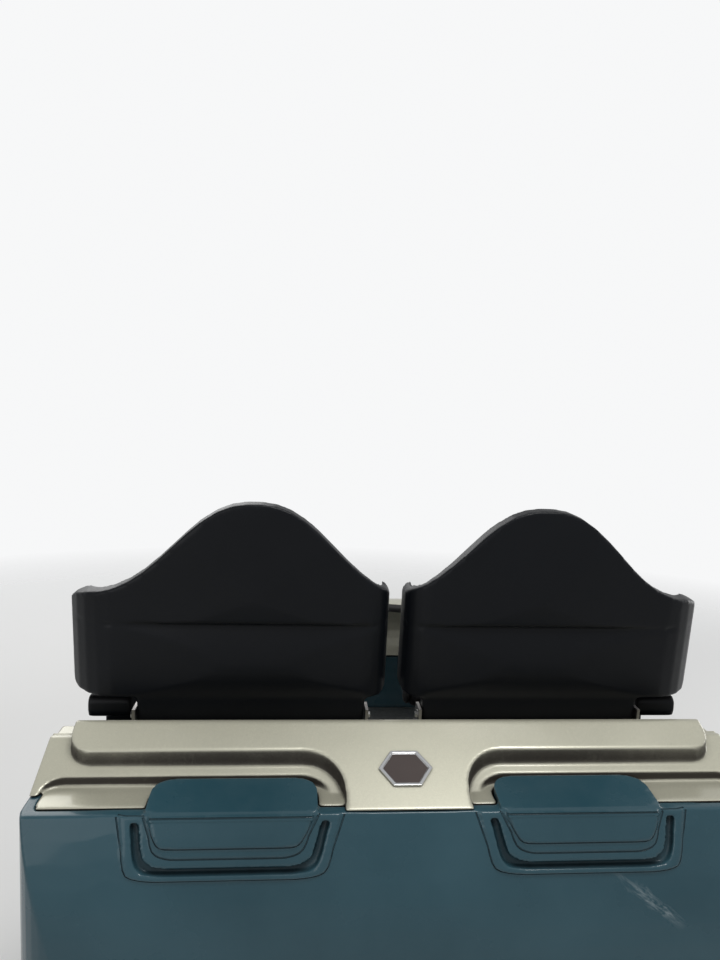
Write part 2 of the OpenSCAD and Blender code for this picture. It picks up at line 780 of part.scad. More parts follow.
// U-shaped handle standing on the stem's level part
module grab_handle(r) {
    y = (lap_pivot[0] + lap_end[0]) / 2 + 20;
    w = grab_w / 2;
    z = lap_end[1];
    up = 75;
    translate([0, y, z]) {
        rod_x(r, -w + 30, w - 30, 0, up);
        rod_x(r, -w + 30, w - 30, 0, 0);
        for (s = [-1, 1]) {
            translate([s * (w - 30), 0, 30]) rotate([90, 0, 0]) scale([s, 1, 1]) translate([0, up - 60, 0])
                rotate_extrude(angle = 90) translate([30, 0]) circle(r = r);
            translate([s * (w - 30), 0, 30]) rotate([90, 0, 0]) scale([s, 1, 1])
                rotate_extrude(angle = -90) translate([30, 0]) circle(r = r);
            translate([s * w, 0, 30]) cylinder(r = r, h = up - 60);
        }
    }
}
module lap_foam() {
    l = foam_l;
    r = foam_d / 2;
    e = 22;
    color(vinyl) translate([seat_x, 0, 0]) difference() {
        translate([-l / 2, lap_end[0], lap_end[1]]) rotate([0, 90, 0]) rotate_extrude()
            polygon(concat([[0, 0]], arc(r - e, e, e, -90, 0, 5), arc(r - e, l - e, e, 0, 90, 5), [[0, l]]));
        rod_x(lap_d / 2 - 4 + seat_gap, -l, l, lap_end[0], lap_end[1]);
        translate([0, lap_end[0] + 2 * r, lap_end[1]]) rotate([90, 0, 0])
            cylinder(r = lap_d / 2 + seat_gap, h = 2 * r);
    }
}
module lap_bar_brackets() {
    x0 = hub_l / 2 + 5;
    color(steel_paint) both_sides() translate([seat_x, lap_pivot[0], 0]) {
        for (s = [-1, 1]) mirror([s < 0 ? 1 : 0, 0, 0]) along_x(x0, x0 + 10)
            polygon(concat([[15 - bracket_foot, floor_z + 8], [bracket_foot - 15, floor_z + 8]],
                arc(0, lap_pivot[1], bracket_eye_r, 0, 180)));
        box(-x0 - bracket_side, x0 + bracket_side, -bracket_foot, bracket_foot, floor_z, floor_z + 8);
        rod_x(lap_pin_r, -x0 - 16, x0 + 16, 0, lap_pivot[1]);
    }
}

// Chassis
module chassis_beams() {
    color(steel_paint) both_sides()
        box(beam_x - beam_w / 2, beam_x + beam_w / 2, tail_y + 80, nose_y - 110, beam_z, pan_z);
}
module cross_members() {
    x0 = beam_x - beam_w / 2;
    x1 = beam_x + beam_w / 2;
    z0 = beam_z + 10;
    color(steel_paint) {
        for (y = [hanger_y, fin_back + fin_tab, fin_front - fin_tab, nose_y - member_nose])
            box(-x0, x0, y - 30, y + 30, z0, pan_z - 5);
        for (y = [rear_axle, front_axle]) {
            difference() {
                box(-x0, x0, y - 75, y + 75, beam_z, pan_z - 5);
                rod_z(king_r + 12, beam_z + 20, pan_z, 0, y);
            }
            rod_z(king_r, axle_z - axle_h / 2 - 8, beam_z + 1, 0, y);
            rod_z(king_r + 14, axle_z - axle_h / 2 - 18, axle_z - axle_h / 2 - 6, 0, y);
        }
        both_sides() for (y = [hanger_y, rear_axle + outrigger_in, front_axle - outrigger_in, nose_y - outrigger_nose])
            box(x1, body_half - panel_t - 40, y - 25, y + 25, pan_z - 32, pan_z);
    }
}

// Axle: a beam that steers on its kingpin, with a wheel carrier at each end
module axle_beam(y) {
    color(steel_paint) difference() {
        union() {
            box(-inner_plate_x + plate_t / 2, inner_plate_x - plate_t / 2, y - axle_h / 2, y + axle_h / 2,
                axle_z - axle_h / 2, axle_z + axle_h / 2);
            rod_z(table_r, axle_z + axle_h / 2 - 1, axle_z + axle_h / 2 + table_t, 0, y);
        }
        rod_z(king_r + run_gap, 0, beam_z, 0, y);
    }
}
module carrier(y) {
    arm = 62;
    back = road_d / 2 + 20;
    top = road_z + 62;
    low = skirt_z - 55;
    yb = y - back - plate_t;
    xi = inner_plate_x - plate_t / 2;
    xo = outer_plate_x;
    difference() {
        union() {
            // outer plate, down past the rail to the up-stop wheel
            along_x(xo, xo + plate_t) polygon(concat(
                [[yb + top - low, top], [yb, low], [yb, rail_top + 20], [y - arm, rail_z]],
                arc(y, upstop_d / 2, arm, 180, 360),
                arc(y, road_z, arm, 0, 90)));
            // inner plate, on the beam's end
            along_x(xi, xi + plate_t) polygon(concat(
                [[yb + top - low, top], [yb, low], [yb, rail_top + 20], [y + arm, rail_top + 20]],
                arc(y, road_z, arm, 0, 90)));
            // tie behind the road wheel
            box(xi + 1, xo + 1, yb, y - back, rail_top + 20, low);
            // lugs above and below the side wheel
            for (z = [rail_z - side_w / 2 - 8 - 12, rail_z + side_w / 2 + 8]) {
                along_z(z, z + 12) union() {
                    polygon([[xo, y - arm], [xo + plate_t, y - arm], [side_wheel_x + 30, y + side_ahead],
                        [side_wheel_x - 30, y + side_ahead], [xo, y + arm]]);
                    translate([side_wheel_x, y + side_ahead]) circle(r = 30);
                }
            }
            rod_x(pin_r + 14, xo + plate_t - 1, xo + plate_t + 8, y, road_z);
            rod_x(pin_r + 14, xo + plate_t - 1, xo + plate_t + 8, y, upstop_d / 2);
        }
        rod_x(pin_r + 0.02, xi - 1, xo + plate_t + 20, y, road_z);
        rod_x(pin_r + 0.02, xo - 1, xo + plate_t + 20, y, upstop_d / 2);
        rod_z(pin_r + 0.02, 0, rail_top + 10, side_wheel_x, y + side_ahead);
    }
}
module wheel_carriers(y) {
    color(steel_paint) both_sides() carrier(y);
}
module wheel_pins(y) {
    xi = inner_plate_x - plate_t / 2;
    xo = outer_plate_x + plate_t;
    color(bright) both_sides() {
        rod_x(pin_r, xi, xo + 26, y, road_z);
        rod_x(pin_r, rail_x - upstop_w / 2 - 8, xo + 26, y, upstop_d / 2);
        rod_x(pin_r + 8, rail_x - upstop_w / 2 - 16, rail_x - upstop_w / 2 - 8, y, upstop_d / 2);
        rod_z(pin_r, rail_z - side_w / 2 - 30, rail_z + side_w / 2 + 30, side_wheel_x, y + side_ahead);
    }
}

// Wheel on the Z axis, centred: bonded tread on a webbed hub
module wheel(d, w) {
    rim = d / 2 - tread_t;
    hub = pin_r + 18;
    web = w * 0.28;
    color(bright) difference() {
        rotate_extrude() polygon([
            [pin_r + run_gap, -w / 2], [hub, -w / 2], [hub, -web / 2], [rim - 10, -web / 2], [rim - 8, -w / 2],
            [rim, -w / 2], [d / 2, -w / 2 + 6], [d / 2, w / 2 - 6],
            [rim, w / 2], [rim - 8, w / 2], [rim - 10, web / 2], [hub, web / 2], [hub, w / 2], [pin_r + run_gap, w / 2]]);
        hole = (rim - 10 - hub) / 2;
        for (k = [0:5]) rotate(60 * k) translate([(rim - 10 + hub) / 2, 0, -w]) cylinder(r = hole * 0.72, h = 2 * w);
    }
}
module wheel_x(d, w, x, y, z) {
    translate([x, y, z]) rotate([0, 90, 0]) wheel(d, w);
}
module road_wheel(side, y) { wheel_x(road_d, road_w, side * rail_x, y, road_z); }
module upstop_wheel(side, y) { wheel_x(upstop_d, upstop_w, side * rail_x, y, upstop_d / 2); }
module side_wheel(side, y) {
    translate([side * side_wheel_x, y + side_ahead, rail_z]) wheel(side_d, side_w);
}

// Couplings
module front_coupler() {
    ye = nose_y - hitch_in;
    root = ye - coupler_d * 0.75;
    gap = eye_t / 2 + 3;
    color(steel_paint) difference() {
        union() {
            for (z = [hitch_z - gap - 12, hitch_z + gap])
                along_z(z, z + 12) union() {
                    translate([0, ye]) circle(r = 34);
                    polygon([[-33, ye], [33, ye], [coupler_w, root], [-coupler_w, root]]);
                }
            box(-coupler_w, coupler_w, ye - coupler_d, root + 5, hitch_z - gap - 12, beam_z + 10);
        }
        rod_z(hitch_r, 0, beam_z, 0, ye);
    }
}
hanger_y = tail_y + drawbar_root;
module drawbar() {
    ye = tail_y - drawbar_reach + eye_r;
    color(steel_paint) difference() {
        union() {
            rod_z(eye_r, hitch_z - eye_t / 2, hitch_z + eye_t / 2, 0, ye);
            rod_z(eye_r + 2, hitch_z - eye_t / 2, hitch_z + eye_t / 2, 0, hanger_y);
            along_z(hitch_z - eye_t / 2 + 2, hitch_z + eye_t / 2 - 2)
                polygon([[4 - eye_r, hanger_y], [eye_r - 4, hanger_y], [eye_r - 9, ye], [9 - eye_r, ye]]);
        }
        rod_z(hitch_r, 0, beam_z, 0, ye);
        rod_z(hitch_r + run_gap, 0, beam_z, 0, hanger_y);
    }
}
module drawbar_hanger() {
    gap = eye_t / 2 + 3;
    color(steel_paint) {
        box(-45, 45, hanger_y - 30, hanger_y + 30, hitch_z + gap, beam_z + 10);
        rod_z(hitch_r, hitch_z - gap - 12, hitch_z + gap + 1, 0, hanger_y);
        rod_z(hitch_r + 12, hitch_z - gap - 12, hitch_z - gap, 0, hanger_y);
    }
}
// The two dogs hang side by side: one takes the lift chain, the other the rack beside it
dog_y = front_axle - dog_back;
dog_z = beam_z - 34;
x_dog = beam_x - beam_w / 2;
dog_pin_r = 12;
fin_front = dog_y - dog_ahead;
fin_back = rear_axle + fin_ahead;
dogs = [[0, rail_z + 10], [110, rail_z + 30]];    // place across the car, height of the tip
module dog_hangers() {
    color(steel_paint) {
        for (d = dogs) translate([d[0], 0, 0]) {
            both_sides() along_x(20, 30)
                polygon(concat([[dog_y - hanger_half, beam_z + 10], [dog_y + hanger_half, beam_z + 10]],
                    arc(dog_y, dog_z, hanger_r, 0, -180)));
            rod_x(dog_pin_r, -34, 34, dog_y, dog_z);
        }
        box(-x_dog, x_dog, dog_y - hanger_plate, dog_y + hanger_plate, beam_z + 10, beam_z + 30);
    }
}
module dog(d) {
    tip = d[1];
    color(bright) translate([d[0], dog_y, 0]) difference() {
        union() {
            rod_x(26, -14, 14, 0, dog_z);
            along_x(-12, 12) polygon([[-20, dog_z], [20, dog_z], [16, dog_z - 60], [-20, tip], [-62, tip],
                [-60, tip + 30], [-42, tip + 46]]);
        }
        rod_x(dog_pin_r + run_gap, -20, 20, 0, dog_z);
    }
}
module chain_dog() { dog(dogs[0]); }
module rollback_dog() { dog(dogs[1]); }
module brake_fin() {
    y0 = fin_back;
    y1 = fin_front;
    color(bright) union() {
        along_x(-fin_t / 2, fin_t / 2) polygon([
            [y0, rail_top + 60], [y0 + fin_slope, rail_z], [y1 - fin_slope, rail_z], [y1, rail_top + 60],
            [y1, beam_z + 10], [y0, beam_z + 10]]);
        for (y = [y0 + fin_tab, y1 - fin_tab]) box(-fin_side, fin_side, y - 30, y + 30, beam_z, beam_z + 10);
    }
}

// Left-hand pieces
module seat_shell_left() { mirror([1, 0, 0]) seat_shell(); }
module back_pad_left() { mirror([1, 0, 0]) back_pad(); }
module seat_cushion_left() { mirror([1, 0, 0]) seat_cushion(); }
module lap_bar_left() { mirror([1, 0, 0]) lap_bar(); }
module lap_foam_left() { mirror([1, 0, 0]) lap_foam(); }

chassis_beams();
cross_members();
floor_pan();
seat_riser();
step_plates();
side_panel_left();
side_panel_right();
nose_hood();
nose_fascia();
rear_deck();
rear_fascia();
rear_badge();
arm_rests();
seat_brackets();
seat_shell_left();
seat_shell();  // seat_shell_right
back_pad_left();
back_pad();  // back_pad_right
seat_cushion_left();
seat_cushion();  // seat_cushion_right
lap_bar_brackets();
front_coupler();
drawbar_hanger();
brake_fin();
dog_hangers();
lap_bar_left();
lap_bar();  // lap_bar_right
lap_foam_left();
lap_foam();  // lap_foam_right
drawbar();
chain_dog();
rollback_dog();
axle_beam(front_axle);  // axle_beam_front
wheel_carriers(front_axle);  // wheel_carriers_front
wheel_pins(front_axle);  // wheel_pins_front
axle_beam(rear_axle);  // axle_beam_rear
wheel_carriers(rear_axle);  // wheel_carriers_rear
wheel_pins(rear_axle);  // wheel_pins_rear
road_wheel(-1, front_axle);  // road_wheel_front_left
road_wheel(1, front_axle);  // road_wheel_front_right
road_wheel(-1, rear_axle);  // road_wheel_rear_left
road_wheel(1, rear_axle);  // road_wheel_rear_right
side_wheel(-1, front_axle);  // side_wheel_front_left
side_wheel(1, front_axle);  // side_wheel_front_right
side_wheel(-1, rear_axle);  // side_wheel_rear_left
side_wheel(1, rear_axle);  // side_wheel_rear_right
upstop_wheel(-1, front_axle);  // upstop_wheel_front_left
upstop_wheel(1, front_axle);  // upstop_wheel_front_right
upstop_wheel(-1, rear_axle);  // upstop_wheel_rear_left
upstop_wheel(1, rear_axle);  // upstop_wheel_rear_right
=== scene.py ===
"""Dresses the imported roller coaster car: shells, upholstery, running gear, finishes and studio."""

import json
import logging
import math
from collections.abc import Callable, Iterable, Sequence
from dataclasses import dataclass, field
from enum import Enum

import bpy
from mathutils import Matrix, Vector

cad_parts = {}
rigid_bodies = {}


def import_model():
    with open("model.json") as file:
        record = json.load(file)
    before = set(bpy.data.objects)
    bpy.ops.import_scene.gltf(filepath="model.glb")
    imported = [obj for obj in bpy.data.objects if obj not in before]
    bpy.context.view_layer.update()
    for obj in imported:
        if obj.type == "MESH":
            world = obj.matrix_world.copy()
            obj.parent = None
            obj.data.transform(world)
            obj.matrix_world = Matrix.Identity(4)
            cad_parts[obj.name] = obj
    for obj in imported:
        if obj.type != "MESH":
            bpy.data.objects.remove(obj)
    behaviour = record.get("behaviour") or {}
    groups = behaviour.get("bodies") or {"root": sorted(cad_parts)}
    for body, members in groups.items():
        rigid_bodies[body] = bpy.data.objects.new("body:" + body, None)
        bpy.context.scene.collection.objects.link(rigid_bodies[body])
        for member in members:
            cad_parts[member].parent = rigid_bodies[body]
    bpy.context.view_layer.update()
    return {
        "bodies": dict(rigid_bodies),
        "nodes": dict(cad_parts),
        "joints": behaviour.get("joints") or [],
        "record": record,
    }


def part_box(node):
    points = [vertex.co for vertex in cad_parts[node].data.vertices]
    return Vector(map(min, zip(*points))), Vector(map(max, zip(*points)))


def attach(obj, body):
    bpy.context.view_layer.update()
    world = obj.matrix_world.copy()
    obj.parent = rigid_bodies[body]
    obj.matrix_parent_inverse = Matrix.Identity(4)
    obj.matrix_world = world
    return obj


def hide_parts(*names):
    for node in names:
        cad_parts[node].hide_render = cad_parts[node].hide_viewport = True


LOG = logging.getLogger("coaster_car")
MM = 0.001
MIRROR_X = Matrix.Scale(-1.0, 4, Vector((1.0, 0.0, 0.0)))
Point = tuple[float, float, float]
Colour = tuple[float, float, float, float]


def rgb(red: float, green: float, blue: float) -> Colour:
    """An opaque colour in linear light."""
    return (red, green, blue, 1.0)


class Side(Enum):
    """The two sides of the car, as the sign of X."""

    LEFT = -1
    RIGHT = 1

    @property
    def word(self) -> str:
        """The side's name in lower case."""
        return self.name.lower()

    @property
    def matrix(self) -> Matrix:
        """What makes this side's piece of a right-hand one."""
        return MIRROR_X if self is Side.LEFT else Matrix.Identity(4)


class End(Enum):
    """The two axles, as the sign of Y."""

    REAR = -1
    FRONT = 1

    @property
    def word(self) -> str:
        """The end's name in lower case."""
        return self.name.lower()


class Kind(Enum):
    """How a fastener's head is shaped."""

    HEX = "hex"
    DOME = "dome"


# Shader groups that several finishes share


class Network:
    """Adds nodes to one tree and joins their sockets."""

    def __init__(self, tree: bpy.types.NodeTree) -> None:
        """Starts on an emptied tree.

        Args:
            tree: the material's or group's node tree.
        """
        self.tree = tree
        tree.nodes.clear()

    def add(self, kind: str, **inputs: object) -> bpy.types.Node:
        """Adds a node and sets or joins its inputs.

        Args:
            kind: the node's type, without ShaderNode.
            inputs: the inputs by name, with _ for a space, or by place after an i, each a value or an
                output socket; after p_, a property of the node itself.

        Returns:
            The new node.
        """
        node = self.tree.nodes.new("ShaderNode" + kind)
        for key, value in inputs.items():
            if key.startswith("p_"):
                setattr(node, key[2:], value)
        for key, value in inputs.items():
            if key.startswith("p_"):
                continue
            socket = self.socket(node, key)
            if isinstance(value, bpy.types.NodeSocket):
                self.tree.links.new(value, socket)
            else:
                socket.default_value = value
        return node

    @staticmethod
    def socket(node: bpy.types.Node, key: str) -> bpy.types.NodeSocket:
        """Finds one input.

        Args:
            node: the node.
            key: the input's name with _ for a space, or its place after an i.

        Returns:
            The socket.
        """
        if key[0] == "i" and key[1:].isdigit():
            return node.inputs[int(key[1:])]
        return node.inputs[key.replace("_", " ")]

    def maths(self, operation: str, first: object, second: object = 0.0,
              clamp: bool = False) -> bpy.types.NodeSocket:
        """A Math node's value."""
        node = self.add("Math", p_operation=operation, p_use_clamp=clamp, i0=first, i1=second)
        return node.outputs[0]

    def ramp(self, value: object, low: float, high: float) -> bpy.types.NodeSocket:
        """The value stretched so that low becomes 0 and high becomes 1, and held there."""
        node = self.add("MapRange", Value=value, From_Min=low, From_Max=high)
        return node.outputs["Result"]

    def mix(self, share: object, first: object, second: object) -> bpy.types.NodeSocket:
        """The first colour passing into the second as share goes from 0 to 1."""
        node = self.add("Mix", p_data_type="RGBA", i0=share, i6=first, i7=second)
        return node.outputs[2]


def new_group(name: str, inputs: dict[str, float], outputs: Iterable[str]) -> tuple[Network, bpy.types.Node]:
    """Starts a shader group with number inputs and outputs.

    Args:
        name: the group's name.
        inputs: each input's name and default.
        outputs: the outputs' names.

    Returns:
        The network in the group and its input node.
    """
    tree = bpy.data.node_groups.new(name, "ShaderNodeTree")
    for key, value in inputs.items():
        socket = tree.interface.new_socket(key, in_out="INPUT", socket_type="NodeSocketFloat")
        socket.default_value = value
        socket.min_value = -1000.0
        socket.max_value = 1000.0
    for key in outputs:
        tree.interface.new_socket(key, in_out="OUTPUT", socket_type="NodeSocketFloat")
    network = Network(tree)
    return network, tree.nodes.new("NodeGroupInput")


def end_group(network: Network, **outputs: bpy.types.NodeSocket) -> bpy.types.NodeTree:
    """Joins values to the group's outputs.

    Args:
        network: the network in the group.
        outputs: the outputs by name, with _ for a space.

    Returns:
        The group's tree.
    """
    exit_node = network.tree.nodes.new("NodeGroupOutput")
    for key, value in outputs.items():
        network.tree.links.new(value, exit_node.inputs[key.replace("_", " ")])
    return network.tree


class Groups:
    """The shared effects: edge wear, grain, dust, painted shade, flakes and brushing."""

    def __init__(self) -> None:
        """Builds each group once."""
        self.wear = self._wear()
        self.grain = self._grain()
        self.dust = self._dust()
        self.grime = self._grime()
        self.flakes = self._flakes()
        self.brushing = self._brushing()
        self.tread = self._tread()

    @staticmethod
    def _tread() -> bpy.types.NodeTree:
        """A height of raised bars, every other one turned, as rolled into a tread plate.

        Returns:
            The group's tree.
        """
        net, entry = new_group("tread_plate", {"Pitch": 34.0}, ["Height"])
        place = net.add("TexCoord").outputs["Object"]
        scaled = net.add("VectorMath", p_operation="SCALE", i0=place,
                         Scale=entry.outputs["Pitch"]).outputs[0]
        turn = net.add("TexChecker", Vector=scaled, Scale=1.0).outputs["Fac"]
        cell = net.add("VectorMath", p_operation="FRACTION", i0=scaled).outputs[0]
        axes = net.add("SeparateXYZ", Vector=cell)
        across = net.maths("SUBTRACT", axes.outputs["X"], 0.5)
        along = net.maths("SUBTRACT", axes.outputs["Y"], 0.5)
        rising = net.maths("ABSOLUTE", net.maths("ADD", across, along))
        falling = net.maths("ABSOLUTE", net.maths("SUBTRACT", across, along))
        swap = net.maths("SUBTRACT", falling, rising)
        shift = net.maths("MULTIPLY", turn, swap)
        length = net.maths("ADD", rising, shift)
        width = net.maths("SUBTRACT", falling, shift)
        reach = net.maths("ADD", length, net.maths("MULTIPLY", width, 3.4))
        return end_group(net, Height=net.maths("SUBTRACT", 1.0, net.ramp(reach, 0.50, 0.78)))

    @staticmethod
    def _wear() -> bpy.types.NodeTree:
        """A mask of rubbed outer edges, broken up by noise.

        Returns:
            The group's tree.
        """
        net, entry = new_group("edge_wear", {"Amount": 0.5, "Scale": 40.0}, ["Mask"])
        place = net.add("TexCoord").outputs["Object"]
        sharp = net.ramp(net.add("NewGeometry").outputs["Pointiness"], 0.51, 0.60)
        noise = net.add("TexNoise", Vector=place, Scale=entry.outputs["Scale"], Detail=6.0, Roughness=0.65)
        broken = net.maths("MULTIPLY", sharp, net.ramp(noise.outputs["Fac"], 0.40, 0.62))
        return end_group(net, Mask=net.maths("MULTIPLY", broken, entry.outputs["Amount"], True))

    @staticmethod
    def _grain() -> bpy.types.NodeTree:
        """A height of fine leathery cells over softer swells.

        Returns:
            The group's tree.
        """
        net, entry = new_group("grain", {"Scale": 900.0, "Swell": 12.0}, ["Height"])
        place = net.add("TexCoord").outputs["Object"]
        cells = net.add("TexVoronoi", Vector=place, Scale=entry.outputs["Scale"],
                        p_feature="DISTANCE_TO_EDGE")
        swell = net.add("TexNoise", Vector=place, Scale=entry.outputs["Swell"], Detail=3.0)
        fine = net.maths("MULTIPLY", net.ramp(cells.outputs["Distance"], 0.0, 0.25), 0.35)
        broad = net.maths("MULTIPLY", swell.outputs["Fac"], 0.65)
        return end_group(net, Height=net.maths("ADD", fine, broad))

    @staticmethod
    def _dust() -> bpy.types.NodeTree:
        """A mask of grey film, thicker on faces that look up.

        Returns:
            The group's tree.
        """
        net, entry = new_group("dust", {"Amount": 0.3, "Scale": 6.0}, ["Mask"])
        place = net.add("TexCoord").outputs["Object"]
        normal = net.add("NewGeometry").outputs["Normal"]
        upward = net.ramp(net.add("SeparateXYZ", Vector=normal).outputs["Z"], -0.4, 1.0)
        noise = net.add("TexNoise", Vector=place, Scale=entry.outputs["Scale"], Detail=8.0, Roughness=0.7)
        cloud = net.maths("MULTIPLY", net.ramp(noise.outputs["Fac"], 0.35, 0.75), upward)
        return end_group(net, Mask=net.maths("MULTIPLY", cloud, entry.outputs["Amount"], True))

    @staticmethod
    def _grime() -> bpy.types.NodeTree:
        """A mask of painted shade in channels, under lips and on steep walls beside a ledge, where ambient
        occlusion finds the surface shut in; faces that look up are spared by Level.

        Returns:
            The group's tree.
        """
        net, entry = new_group("grime", {"Amount": 0.8, "Reach": 0.04, "Level": 1.0, "Walls": 0.0}, ["Mask"])
        place = net.add("TexCoord").outputs["Object"]
        rise = net.add("SeparateXYZ", Vector=net.add("NewGeometry").outputs["Normal"]).outputs["Z"]
        upward = net.ramp(rise, 0.70, 0.92)
        spared = net.maths("SUBTRACT", 1.0, entry.outputs["Level"])
        level = net.maths("SUBTRACT", 1.0, net.maths("MULTIPLY", upward, spared))
        # Painted shade: the mask rises where ambient occlusion finds the surface shut in, and on steep walls,
        # with noise breaking it up.
        open_share = net.add("AmbientOcclusion", p_samples=8, Distance=entry.outputs["Reach"]).outputs["AO"]
        shut = net.maths("SUBTRACT", 1.0, open_share)
        hollow = net.maths("MULTIPLY", net.ramp(shut, 0.10, 0.45), level)
        steep = net.maths("SUBTRACT", 1.0, net.ramp(rise, 0.38, 0.70))
        wall = net.maths("MULTIPLY", steep, entry.outputs["Walls"])
        hollow = net.maths("MAXIMUM", hollow, net.maths("MULTIPLY", net.ramp(shut, 0.04, 0.16), wall))
        noise = net.add("TexNoise", Vector=place, Scale=28.0, Detail=6.0, Roughness=0.7)
        patchy = net.maths("ADD", net.maths("MULTIPLY", noise.outputs["Fac"], 0.5), 0.7)
        shade_mask = net.maths("MULTIPLY", hollow, patchy)
        return end_group(net, Mask=net.maths("MULTIPLY", shade_mask, entry.outputs["Amount"], True))

    @staticmethod
    def _flakes() -> bpy.types.NodeTree:
        """A brightness that jumps from flake to flake in a metallic paint.

        Returns:
            The group's tree.
        """
        net, entry = new_group("flakes", {"Scale": 2200.0}, ["Level"])
        place = net.add("TexCoord").outputs["Object"]
        cells = net.add("TexVoronoi", Vector=place, Scale=entry.outputs["Scale"])
        level = net.add("SeparateColor", Color=cells.outputs["Color"]).outputs["Red"]
        return end_group(net, Level=level)

    @staticmethod
    def _brushing() -> bpy.types.NodeTree:
        """A height of fine scratches drawn out along Z.

        Returns:
            The group's tree.
        """
        net, entry = new_group("brushing", {"Scale": 300.0, "Stretch": 0.03}, ["Height"])
        place = net.add("TexCoord").outputs["Object"]
        squeeze = net.add("CombineXYZ", X=1.0, Y=1.0, Z=entry.outputs["Stretch"]).outputs[0]
        stretched = net.add("VectorMath", p_operation="MULTIPLY", i0=place, i1=squeeze).outputs[0]
        noise = net.add("TexNoise", Vector=stretched, Scale=entry.outputs["Scale"], Detail=4.0)
        return end_group(net, Height=noise.outputs["Fac"])


